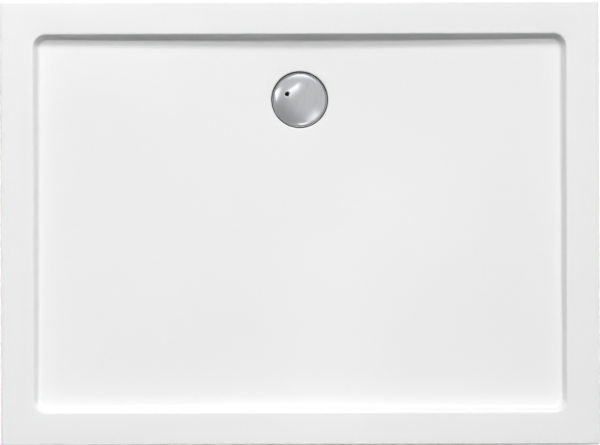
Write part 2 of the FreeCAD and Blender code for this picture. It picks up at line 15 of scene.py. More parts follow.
import bmesh
import bpy
import numpy as np
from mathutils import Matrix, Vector

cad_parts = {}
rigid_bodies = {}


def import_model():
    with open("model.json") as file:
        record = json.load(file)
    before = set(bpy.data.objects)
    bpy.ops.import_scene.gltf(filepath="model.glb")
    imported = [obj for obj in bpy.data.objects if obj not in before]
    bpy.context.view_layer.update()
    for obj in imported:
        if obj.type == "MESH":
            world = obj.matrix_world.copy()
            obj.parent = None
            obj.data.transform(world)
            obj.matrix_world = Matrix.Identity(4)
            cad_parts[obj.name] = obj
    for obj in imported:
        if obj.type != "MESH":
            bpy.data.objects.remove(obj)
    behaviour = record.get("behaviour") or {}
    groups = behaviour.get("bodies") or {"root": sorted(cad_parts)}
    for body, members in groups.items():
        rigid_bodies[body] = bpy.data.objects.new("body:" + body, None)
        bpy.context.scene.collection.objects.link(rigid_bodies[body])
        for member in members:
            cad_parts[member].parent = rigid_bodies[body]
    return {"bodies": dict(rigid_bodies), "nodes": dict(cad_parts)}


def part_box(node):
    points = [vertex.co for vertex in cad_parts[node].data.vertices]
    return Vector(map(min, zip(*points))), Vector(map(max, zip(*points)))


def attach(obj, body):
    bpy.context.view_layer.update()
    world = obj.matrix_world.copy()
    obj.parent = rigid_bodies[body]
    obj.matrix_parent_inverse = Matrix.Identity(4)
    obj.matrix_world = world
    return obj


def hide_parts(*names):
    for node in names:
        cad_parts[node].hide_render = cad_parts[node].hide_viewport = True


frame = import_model()

LOG = logging.getLogger("shower_tray")
MM = 0.001
FULL_TURN = 2 * math.pi
PHOTO_WIDTH = 600
LEAST_ROUND = 0.3 * MM
CHAMFER_FALL = 1.7
TRAY_BODY = "tray"
LEGS = ("front_left", "front_right", "back_left", "back_right", "middle")

Colour = tuple[float, float, float]
Place = tuple[float, float, float]
Pair = tuple[float, float]
Fades = tuple[float, float, float, float]
Corner = tuple[float, float, float]
Numbers = np.ndarray | float
Socket = bpy.types.NodeSocket


def middle(node: str) -> np.ndarray:
    """The middle of a node's box at rest.

    Args:
        node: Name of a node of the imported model.

    Returns:
        Its x, y and z in metres.
    """
    low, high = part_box(node)
    return (np.array(low) + np.array(high)) / 2


# ---------------------------------------------------------------- surfaces


@dataclass
class Surface:
    """Points, and faces that name their corners by number."""

    points: np.ndarray
    faces: np.ndarray

    def __add__(self, other: "Surface") -> "Surface":
        """Joins two surfaces.

        Args:
            other: The surface that is added.

        Returns:
            Both surfaces as one.
        """
        points = np.vstack((self.points, other.points))
        return Surface(points, np.vstack((self.faces, other.faces + len(self.points))))

    def moved(self, offset: Sequence[float]) -> "Surface":
        """The same surface at another place."""
        return Surface(self.points + np.asarray(offset, dtype=float), self.faces)

    def laid_along_y(self) -> "Surface":
        """The same surface with its upright axis laid along +Y."""
        x, y, z = self.points.T
        return Surface(np.column_stack((x, z, -y)), self.faces)

    def repeated(self, count: int, first: float = 0.0) -> "Surface":
        """Copies of the surface, spaced evenly about the upright axis.

        Copy k is turned by the first angle plus k / count of a full turn, which takes a point
        (x, y, z) to (x cos a - y sin a, x sin a + y cos a, z).

        Args:
            count: Number of copies.
            first: Angle of the first copy in radians, anticlockwise from above.

        Returns:
            All copies as one surface.
        """
        angle = first + bearings(count)[:, None]
        x, y, z = self.points.T
        cos, sin = np.cos(angle), np.sin(angle)
        points = np.stack((x * cos - y * sin, x * sin + y * cos, z + 0 * angle), axis=-1)
        faces = self.faces + len(self.points) * np.arange(count)[:, None, None]
        return Surface(points.reshape(-1, 3), faces.reshape(-1, self.faces.shape[1]))


def bearings(count: int) -> np.ndarray:
    """Angles in radians, spaced evenly over a full turn from 0."""
    return np.linspace(0, FULL_TURN, count, endpoint=False)


def around(reach: Numbers, bearing: np.ndarray, height: Numbers) -> np.ndarray:
    """Points (reach cos b, reach sin b, height) about the upright axis.

    Args:
        reach: Distance from the axis, as a number or an array.
        bearing: Bearings in radians.
        height: Height, as a number or an array.

    Returns:
        The points, with a last axis of three coordinates.
    """
    x, y = reach * np.cos(bearing), reach * np.sin(bearing)
    return np.stack(np.broadcast_arrays(x, y, height), axis=-1)


def level(plan: np.ndarray, height: Numbers) -> np.ndarray:
    """Points of a plan, each at its height.

    Args:
        plan: Points with a last axis of x and y.
        height: One height, or one for each row or each point.

    Returns:
        The points, with a last axis of three coordinates.
    """
    heights = np.broadcast_to(height, plan.shape[:-1])[..., None]
    return np.concatenate((plan, heights), axis=-1)


def unit(vectors: np.ndarray) -> np.ndarray:
    """The same directions with a length of 1."""
    return vectors / np.linalg.norm(vectors, axis=-1, keepdims=True)


def woven(
    points: np.ndarray, round_rows: bool = False, round_columns: bool = True
) -> Surface:
    """Faces between the neighbours of a grid of points.

    Args:
        points: Array of rows by columns by three coordinates.
        round_rows: Whether the last row joins the first.
        round_columns: Whether the last column joins the first.

    Returns:
        The surface, with one four-cornered face for each cell of the grid.
    """
    rows, columns = points.shape[:2]
    row = np.arange(rows if round_rows else rows - 1)[:, None]
    column = np.arange(columns if round_columns else columns - 1)[None, :]
    next_row, next_column = (row + 1) % rows, (column + 1) % columns
    corners = (
        row * columns + column,
        row * columns + next_column,
        next_row * columns + next_column,
        next_row * columns + column,
    )
    faces = np.stack(np.broadcast_arrays(*corners), axis=-1)
    return Surface(points.reshape(-1, 3), faces.reshape(-1, 4))


def rounded(corners: Sequence[Corner], steps: int = 5, closed: bool = True) -> np.ndarray:
    """A section with its corners rounded.

    Each corner becomes a short curve (1-t)²a + 2t(1-t)p + t²b, where p is the corner and a and b
    are the points where an arc of the corner's radius would touch its two sides.

    Args:
        corners: The corners, each with two coordinates and the radius that it is rounded by.
        steps: Points on each rounded corner.
        closed: Whether the section closes on itself.

    Returns:
        Array of points by two coordinates.
    """
    data = np.asarray(corners, dtype=float)
    place, radius = data[:, :2], data[:, 2].copy()
    before, after = np.roll(place, 1, axis=0) - place, np.roll(place, -1, axis=0) - place
    if not closed:
        radius[[0, -1]] = 0
    length_after = np.linalg.norm(after, axis=1)
    before, after = unit(before), unit(after)
    cosine = np.clip((before * after).sum(axis=1), -0.9999, 0.9999)
    touch = radius / np.tan(np.arccos(cosine) / 2)
    room = np.minimum(1.0, 0.98 * length_after / np.maximum(touch + np.roll(touch, -1), 1e-9))
    touch = (touch * np.minimum(room, np.roll(room, 1)))[:, None]
    curve = soft_corner(place, before * touch, after * touch, steps)
    return curve.swapaxes(0, 1).reshape(-1, 2)


def soft_corner(
    corner: np.ndarray, start: np.ndarray, end: np.ndarray, steps: int
) -> np.ndarray:
    """A curve (1-t)²a + 2t(1-t)p + t²b round each corner p, worked out as p + (1-t)²s + t²e.

    Args:
        corner: The corners p.
        start: The way s from each corner to its curve's start a.
        end: The way e from each corner to its curve's end b.
        steps: Points on each curve.

    Returns:
        Array of steps by corners by coordinates.
    """
    t = np.linspace(0, 1, steps)[:, None, None]
    return corner + (1 - t) ** 2 * start + t**2 * end


def revolved(section: np.ndarray, segments: int = 128, closed: bool = True) -> Surface:
    """A section of (radius, height) points turned about the upright axis.

    Args:
        section: Array of points by radius and height.
        segments: Number of steps round the axis.
        closed: Whether the section closes on itself.

    Returns:
        Points (r cos a, r sin a, z) for every section point and every angle a.
    """
    angle = bearings(segments)[None, :]
    return woven(around(section[:, :1], angle, section[:, 1:]), round_rows=closed)


def polygon_reach(angle: np.ndarray, flats: float, sides: int) -> np.ndarray:
    """How far a regular polygon reaches at each angle.

    The reach is half the width across flats over the cosine of the angle to the nearest flat's
    middle, where the first flat's middle lies at half a side's turn.

    Args:
        angle: Angles in radians.
        flats: Width across the flats.
        sides: Number of sides.

    Returns:
        The reach at each angle.
    """
    side = FULL_TURN / sides
    return flats / 2 / np.cos((angle + side / 2) % side - side / 2)


def chamfered_prism(
    flats: float,
    low: float,
    high: float,
    bore: float,
    chamfer: float,
    sides: int = 6,
    segments: int = 96,
) -> Surface:
    """A nut: a prism whose ends are turned down to a cone, with a bore.

    At each height the reach is the lesser of the polygon's and a circle's, and the circle shrinks
    by the chamfer's fall times the distance into the chamfer.

    Args:
        flats: Width across the flats.
        low: Height of the lower face.
        high: Height of the upper face.
        bore: Radius of the bore.
        chamfer: Height of the turned-down part at each end.
        sides: Number of flats.
        segments: Number of steps round the axis.

    Returns:
        The closed surface about the upright axis.
    """
    angle = bearings(segments)[None, :]
    into = np.array([0.0, chamfer / 2, chamfer])
    height = np.concatenate((low + into, high - into[::-1]))[:, None]
    depth = np.maximum(0, np.maximum(low + chamfer - height, height - (high - chamfer)))
    corner = flats / 2 / math.cos(math.pi / sides)
    outer = np.minimum(polygon_reach(angle, flats, sides), corner - CHAMFER_FALL * depth)
    walls = around(outer, angle, height)
    hole = around(bore, angle, np.array([[high], [low]]))
    return woven(np.concatenate((walls, hole)), round_rows=True)


def folded_sheet(path: np.ndarray, sheet: float, width: float) -> Surface:
    """A sheet of even thickness that follows a path in the XZ plane.

    The path is moved to each side along its normal by half the thickness, and both lines are
    drawn out along Y by half the width each way.

    Args:
        path: Points of the middle line by x and z.
        sheet: Thickness.
        width: Width along Y.

    Returns:
        The closed surface.
    """
    along = unit(np.gradient(path, axis=0))
    normal = np.column_stack((-along[:, 1], along[:, 0])) * sheet / 2
    edges = []
    for side, across in ((1, -1), (1, 1), (-1, 1), (-1, -1)):
        line = path + side * normal
        y = np.full(len(line), across * width / 2)
        edges.append(np.column_stack((line[:, 0], y, line[:, 1])))
    band = woven(np.stack(edges, axis=1))
    last = 4 * (len(path) - 1)
    ends = np.array([[0, 1, 2, 3], [last + 3, last + 2, last + 1, last]])
    return Surface(band.points, np.vstack((band.faces, ends)))


def place_piece(
    name: str,
    surface: Surface,
    finish: "Finish",
    body: str,
    stands_for: Iterable[str] = (),
    crease: float = 40.0,
) -> None:
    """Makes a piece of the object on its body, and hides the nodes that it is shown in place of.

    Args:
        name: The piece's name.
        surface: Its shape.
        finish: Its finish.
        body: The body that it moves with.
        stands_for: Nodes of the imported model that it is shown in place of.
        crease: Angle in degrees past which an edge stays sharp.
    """
    mesh = bpy.data.meshes.new(name)
    mesh.from_pydata(surface.points.tolist(), [], surface.faces.tolist())
    shape = bmesh.new()
    shape.from_mesh(mesh)
    bmesh.ops.remove_doubles(shape, verts=shape.verts, dist=1e-6)
    bmesh.ops.dissolve_degenerate(shape, edges=shape.edges, dist=1e-7)
    bmesh.ops.recalc_face_normals(shape, faces=shape.faces)
    shape.to_mesh(mesh)
    shape.free()
    mesh.shade_smooth()
    mesh.set_sharp_from_angle(angle=math.radians(crease))
    mesh.materials.append(finish.material())
    piece = bpy.data.objects.new(name, mesh)
    bpy.context.scene.collection.objects.link(piece)
    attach(piece, body)
    if stands_for:
        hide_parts(*stands_for)
    LOG.info("%s: %d faces on %s", name, len(mesh.polygons), body)


def dress_node(node: str, finish: "Finish") -> None:
    """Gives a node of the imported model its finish.

    Args:
        node: The node's name.
        finish: The finish.
    """
    thing = frame["nodes"][node]
    thing.data.materials.clear()
    thing.data.materials.append(finish.material())
    LOG.info("%s: dressed", node)


# ---------------------------------------------------------------- finishes


class Pattern(Enum):
    """The procedural patterns that a finish can take its variation from."""

    CLOUDS = "ShaderNodeTexNoise"
    CELLS = "ShaderNodeTexVoronoi"


class Graph:
    """A short way to add and wire the nodes of a material or of the world."""

    def __init__(self, owner: bpy.types.Material | bpy.types.World) -> None:
        """Takes up the node tree of a material or a world.

        Args:
            owner: The material or the world.
        """
        owner.use_nodes = True
        self.owner = owner
        self.tree = owner.node_tree
        self.places = self.add("ShaderNodeTexCoord").outputs

    def add(
        self, kind: str, sockets: dict[Any, Any] | None = None, **settings: Any
    ) -> bpy.types.Node:
        """Adds a node.

        Args:
            kind: Blender's name for the kind of node.
            sockets: Values or links for its inputs, by name or number.
            settings: Properties of the node.

        Returns:
            The new node.
        """
        node = self.tree.nodes.new(kind)
        for key, value in settings.items():
            setattr(node, key, value)
        for key, value in (sockets or {}).items():
            self.feed(node.inputs[key], value)
        return node

    def feed(self, socket: Socket, value: Any) -> None:
        """Links an input, or gives it a value.

        Args:
            socket: The input.
            value: The output to link to it, or its value. A colour has three parts.
        """
        if isinstance(value, Socket):
            self.tree.links.new(value, socket)
        elif isinstance(value, tuple) and len(value) == 3 and socket.type == "RGBA":
            socket.default_value = (*value, 1.0)
        else:
            socket.default_value = value

    def maths(self, operation: str, first: Any, second: Any) -> Socket:
        """The result of an operation on two values."""
        return self.add("ShaderNodeMath", {0: first, 1: second}, operation=operation).outputs[0]

    def scaled(self, stretch: Place, turn: float = 0.0) -> Socket:
        """Object coordinates, stretched, and turned about Z.

        Args:
            stretch: Factor for each coordinate.
            turn: Angle in radians.

        Returns:
            The new coordinates.
        """
        sockets = {"Vector": self.places["Object"], "Scale": stretch, "Rotation": (0.0, 0.0, turn)}
        return self.add("ShaderNodeMapping", sockets).outputs["Vector"]

    def clouds(
        self,
        scale: float,
        detail: float = 3.0,
        place: Socket | None = None,
        twist: float = 0.0,
    ) -> Socket:
        """Soft noise from 0 to 1.

        Args:
            scale: Features for each unit of the coordinates.
            detail: How much fine noise lies on the coarse.
            place: The coordinates, or none for the object's own.
            twist: How far the noise is pulled about.

        Returns:
            The noise.
        """
        where = place or self.places["Object"]
        sockets = {"Vector": where, "Scale": scale, "Detail": detail, "Distortion": twist}
        return self.add(Pattern.CLOUDS.value, sockets).outputs["Fac"]

    def cells(
        self, scale: float, place: Socket | None = None, channel: int = 0
    ) -> tuple[Socket, Socket]:
        """Grains, each with an even tone of its own.

        Args:
            scale: Grains for each unit of the coordinates.
            place: The coordinates, or none for the object's own.
            channel: Which part of the grain's random colour gives the tone.

        Returns:
            The tone from 0 to 1, and the distance from the grain's middle.
        """
        sockets = {"Vector": place or self.places["Object"], "Scale": scale}
        grains = self.add(Pattern.CELLS.value, sockets).outputs
        parts = self.add("ShaderNodeSeparateColor", {"Color": grains["Color"]}).outputs
        return parts[channel], grains["Distance"]

    def spread(
        self,
        value: Socket,
        low: float,
        high: float,
        start: float = 0.3,
        end: float = 0.7,
    ) -> Socket:
        """Spreads a value between two limits.

        Args:
            value: What is spread.
            low: Result at the start.
            high: Result at the end.
            start: Value that gives the low result.
            end: Value that gives the high result.

        Returns:
            The spread value.
        """
        sockets = {
            "Value": value, "From Min": start, "From Max": end, "To Min": low, "To Max": high
        }
        return self.add("ShaderNodeMapRange", sockets).outputs["Result"]

    def blended(self, amount: Socket, first: Any, second: Any) -> Socket:
        """A colour between two others.

        Args:
            amount: 0 for the first colour, 1 for the second.
            first: The first colour.
            second: The second colour.

        Returns:
            The colour.
        """
        sockets = {"Factor": amount, 6: first, 7: second}
        return self.add("ShaderNodeMix", sockets, data_type="RGBA").outputs[2]

    def bumps(
        self,
        height: Socket,
        depth: float,
        onto: Socket | None = None,
    ) -> Socket:
        """Normals of a bumpy surface.

        Args:
            height: The relief from 0 to 1.
            depth: Its depth in metres.
            onto: Normals that it lies on, or none for the plain surface.

        Returns:
            The normals.
        """
        sockets: dict[str, Any] = {"Height": height, "Strength": 1.0, "Distance": depth}
        if onto is not None:
            sockets["Normal"] = onto
        return self.add("ShaderNodeBump", sockets).outputs["Normal"]

    def straight_rays(self) -> Socket:
        """Tells what the camera sees, also in mirrors and through glass, from other light.

        Returns:
            1 for a ray that is seen, and 0 for the light that falls on a surface.
        """
        ray = self.add("ShaderNodeLightPath").outputs
        seen = self.maths("MAXIMUM", ray["Is Camera Ray"], ray["Is Glossy Ray"])
        return self.maths("MAXIMUM", seen, ray["Is Transmission Ray"])

    def see_through(self, share: Any, shader: Socket) -> bpy.types.Material:
        """Ends a material with a shader that can be seen through.

        Args:
            share: 1 where the shader shows, 0 where nothing does.
            shader: The shader.

        Returns:
            The material.
        """
        clear = self.add("ShaderNodeBsdfTransparent").outputs[0]
        both = self.add("ShaderNodeMixShader", {0: share, 1: clear, 2: shader})
        self.feed(self.tree.nodes["Material Output"].inputs["Surface"], both.outputs[0])
        return self.owner

    def finish(self, **values: Any) -> bpy.types.Material:
        """Ends a material with the principled shader.

        Args:
            values: Values or links for the shader's inputs, with underscores for spaces.

        Returns:
            The material.
        """
        shader = self.tree.nodes["Principled BSDF"]
        for key, value in values.items():
            self.feed(shader.inputs[key.replace("_", " ")], value)
        return self.owner


@dataclass(frozen=True)
class Finish:
    """What a surface looks like. Each kind of finish has its own make method."""

    name: str
    made: ClassVar[dict[str, bpy.types.Material]] = {}

    def graph(self) -> Graph:
        """Starts the finish's material."""
        return Graph(bpy.data.materials.new(self.name))

    def material(self) -> bpy.types.Material:
        """The finish's material.

        Returns:
            The material, made on first use.
        """
        if self.name not in Finish.made:
            Finish.made[self.name] = self.make()
        return Finish.made[self.name]

    def make(self) -> bpy.types.Material:
        """Builds the material."""
        raise NotImplementedError


@dataclass(frozen=True)
class SanitaryAcrylic(Finish):
    """Vacuum-formed white acrylic: glossy, with a faint orange peel and fine cleaning marks."""

    colour: Colour = (0.86, 0.86, 0.862)
    shade: Colour = (0.842, 0.842, 0.844)
    peel: float = 0.02 * MM
    gloss: Pair = (0.09, 0.15)

    def make(self) -> bpy.types.Material:
        """Builds the material.

        Returns:
            The material.
        """
        g = self.graph()
        cloud = g.clouds(scale=2.2, detail=4.0)
        colour = g.blended(g.spread(cloud, 0.0, 1.0), self.colour, self.shade)
        marks = g.clouds(1.0, 2.0, g.scaled((900.0, 40.0, 400.0), 0.6))
        haze = g.spread(g.clouds(scale=9.0, detail=6.0), 0.0, 0.03)
        rough = g.maths("ADD", g.spread(marks, *self.gloss, 0.35, 0.75), haze)
        peel = g.bumps(g.clouds(scale=160.0, detail=1.0), self.peel)
        return g.finish(Base_Color=colour, Roughness=rough, Normal=peel, IOR=1.47)


@dataclass(frozen=True)
class GlassResin(Finish):
    """Chopped glass strands under uneven yellowish resin."""

    pale: Colour = (0.66, 0.62, 0.50)
    deep: Colour = (0.42, 0.36, 0.24)
    strand: Colour = (0.78, 0.76, 0.68)
    lies: Pair = (0.9, 2.4)

    def make(self) -> bpy.types.Material:
        """Builds the material: strands lie two ways, over pools of deeper resin.

        Returns:
            The material.
        """
        g = self.graph()
        one_way, other_way = (
            g.clouds(1.0, 2.0, g.scaled((420.0, 60.0, 200.0), lie), twist=1.2) for lie in self.lies
        )
        strands = g.maths("MAXIMUM", one_way, other_way)
        pools = g.clouds(scale=26.0, detail=4.0)
        tint = g.blended(g.spread(pools, 0.0, 1.0), self.pale, self.deep)
        colour = g.blended(g.spread(strands, 0.0, 0.55, 0.55, 0.75), tint, self.strand)
        return g.finish(
            Base_Color=colour,
            Roughness=g.spread(pools, 0.25, 0.6),
            Normal=g.bumps(strands, 0.4 * MM, g.bumps(pools, 1.5 * MM)),
            Coat_Weight=0.4,
            Coat_Roughness=0.2,
        )


@dataclass(frozen=True)
class Chipboard(Finish):
    """Pressed wood chips, lighter and darker, with a thin wash of resin."""

    pale: Colour = (0.68, 0.52, 0.33)
    dark: Colour = (0.36, 0.24, 0.13)
    wash: Colour = (0.60, 0.54, 0.40)

    def make(self) -> bpy.types.Material:
        """Builds the material: the tone is that of a coarse chip times that of a fine one.

        Returns:
            The material.
        """
        g = self.graph()
        chip, distance = g.cells(170.0, g.scaled((1.0, 0.45, 1.0), 0.35))
        fine, _ = g.cells(420.0, g.scaled((0.6, 1.0, 1.0), 1.1), channel=1)
        tone = g.maths("MULTIPLY", chip, fine)
        wood = g.blended(g.spread(tone, 0.0, 1.0, 0.0, 0.7), self.pale, self.dark)
        wash = g.clouds(scale=7.0, detail=5.0)
        return g.finish(
            Base_Color=g.blended(g.spread(wash, 0.0, 0.3, 0.45, 0.75), wood, self.wash),
            Roughness=g.spread(wash, 0.75, 0.4),
            Normal=g.bumps(distance, 0.3 * MM),
        )


@dataclass(frozen=True)
class ZincPlate(Finish):
    """Bright zinc plating with a faint spangle and dull patches."""

    colour: Colour = (0.62, 0.64, 0.67)
    spangle: Colour = (0.72, 0.74, 0.78)
    dull: Colour = (0.46, 0.47, 0.49)

    def make(self) -> bpy.types.Material:
        """Builds the material.

        Returns:
            The material.
        """
        g = self.graph()
        tone, _ = g.cells(260.0)
        patches = g.clouds(scale=60.0, detail=5.0)
        plate = g.blended(g.spread(tone, 0.0, 0.35, 0.0, 1.0), self.colour, self.spangle)
        rolling = g.clouds(1.0, 2.0, g.scaled((30.0, 900.0, 900.0)))
        return g.finish(
            Base_Color=g.blended(g.spread(patches, 0.0, 1.0, 0.5, 0.75), plate, self.dull),
            Metallic=1.0,
            Roughness=g.spread(patches, 0.24, 0.48),
            Normal=g.bumps(rolling, 0.03 * MM),
        )


@dataclass(frozen=True)
class MouldedPlastic(Finish):
    """Injection-moulded plastic with a spark-eroded grain and faint flow marks."""

    colour: Colour = (0.8, 0.8, 0.8)
    shade: Colour = (0.72, 0.72, 0.72)
    grain: float = 0.03 * MM
    gloss: Pair = (0.32, 0.46)

    def make(self) -> bpy.types.Material:
        """Builds the material.

        Returns:
            The material.
        """
        g = self.graph()
        flow = g.clouds(1.0, 3.0, g.scaled((18.0, 18.0, 70.0)), twist=0.8)
        colour = g.blended(g.spread(flow, 0.0, 1.0), self.colour, self.shade)
        relief = g.bumps(g.clouds(scale=1900.0, detail=2.0), self.grain)
        return g.finish(
            Base_Color=colour, Roughness=g.spread(flow, *self.gloss), Normal=relief, IOR=1.5
        )


@dataclass(frozen=True)
class SealRubber(Finish):
    """Black rubber with a bloom of grey."""

    colour: Colour = (0.018, 0.018, 0.019)
    bloom: Colour = (0.07, 0.07, 0.07)

    def make(self) -> bpy.types.Material:
        """Builds the material.

        Returns:
            The material.
        """
        g = self.graph()
        bloom = g.clouds(scale=90.0, detail=5.0)
        colour = g.blended(g.spread(bloom, 0.0, 1.0, 0.5, 0.8), self.colour, self.bloom)
        relief = g.bumps(g.clouds(scale=1500.0), 0.03 * MM)
        return g.finish(Base_Color=colour, Roughness=g.spread(bloom, 0.45, 0.7), Normal=relief)


@dataclass(frozen=True)
class ChromePlate(Finish):
    """Chrome on moulded plastic: bright and slightly wavy, with a few smears."""

    colour: Colour = (0.66, 0.67, 0.69)
    smear: Colour = (0.60, 0.61, 0.625)
    wave: float = 0.04 * MM
    gloss: Pair = (0.035, 0.085)

    def make(self) -> bpy.types.Material:
        """Builds the material.

        Returns:
            The material.
        """
        g = self.graph()
        smear = g.clouds(1.0, 4.0, g.scaled((60.0, 24.0, 40.0), -0.7), twist=0.6)
        return g.finish(
            Base_Color=g.blended(g.spread(smear, 0.0, 1.0), self.colour, self.smear),
            Metallic=1.0,
            Roughness=g.spread(smear, *self.gloss),
            Normal=g.bumps(g.clouds(scale=22.0, detail=1.0), self.wave),
        )


@dataclass(frozen=True)
class StudioFloor(Finish):
    """Pale floor that looks white, keeps the shadow and can be seen through from below."""

    colour: Colour = (0.82, 0.82, 0.82)
    shade: Colour = (0.80, 0.80, 0.80)
    lift: float = 0.6

    def make(self) -> bpy.types.Material:
        """Builds the material. Its glow meets the rays that see it, and lights nothing.

        Returns:
            The material.
        """
        g = self.graph()
        cloud = g.clouds(scale=1.3, detail=3.0)
        g.finish(
            Base_Color=g.blended(g.spread(cloud, 0.0, 1.0), self.colour, self.shade),
            Roughness=0.9,
            Emission_Color=(1.0, 1.0, 1.0),
            Emission_Strength=g.maths("MULTIPLY", g.straight_rays(), self.lift),
        )
        camera = g.add("ShaderNodeLightPath").outputs["Is Camera Ray"]
        below = g.add("ShaderNodeNewGeometry").outputs["Backfacing"]
        shown = g.maths("SUBTRACT", 1.0, g.maths("MULTIPLY", below, camera))
        return g.see_through(shown, g.tree.nodes["Principled BSDF"].outputs[0])


@dataclass(frozen=True)
class CardGlow(Finish):
    """A card's glow: even, or fading out over a stretch at each side."""

    strength: float = 1.0
    half: Pair = (1.0, 1.0)
    fade: Fades = (0.0, 0.0, 0.0, 0.0)

    def make(self) -> bpy.types.Material:
        """Builds the material. Each fade is a smooth step from the edge inwards.

        Returns:
            The material.
        """
        g = self.graph()
        place = g.add("ShaderNodeSeparateXYZ", {"Vector": g.places["Object"]})
        shown: Any = 1.0
        for number, fade in enumerate(self.fade):
            axis, sign = number // 2, 2 * (number % 2) - 1
            if not fade:
                continue
            edge, inside = sign * self.half[axis], sign * (self.half[axis] - fade)
            ramp = {"Value": place.outputs[axis], "From Min": edge, "From Max": inside}
            step = g.add("ShaderNodeMapRange", ramp, interpolation_type="SMOOTHSTEP")
            shown = g.maths("MULTIPLY", shown, step.outputs["Result"])
        glow = {"Color": (1.0, 1.0, 1.0), "Strength": self.strength}
        return g.see_through(shown, g.add("ShaderNodeEmission", glow).outputs[0])


ACRYLIC = SanitaryAcrylic("white_acrylic")
RESIN = GlassResin("glass_resin")
BOARD = Chipboard("chipboard")
ZINC = ZincPlate("zinc_plate")
FOOT_PLASTIC = MouldedPlastic(
    "dark_foot_plastic", (0.035, 0.036, 0.04), (0.05, 0.05, 0.055), 0.08 * MM, (0.42, 0.6)
)
WHITE_PLASTIC = MouldedPlastic("white_moulding", (0.80, 0.80, 0.79), (0.74, 0.74, 0.72))
GREY_PLASTIC = MouldedPlastic("grey_moulding", (0.27, 0.28, 0.30), (0.22, 0.23, 0.25))
DARK_PLASTIC = MouldedPlastic("dark_moulding", (0.08, 0.085, 0.09), (0.06, 0.06, 0.065))
RUBBER = SealRubber("seal_rubber")
CHROME = ChromePlate("chrome_plate")


# ---------------------------------------------------------------- tray


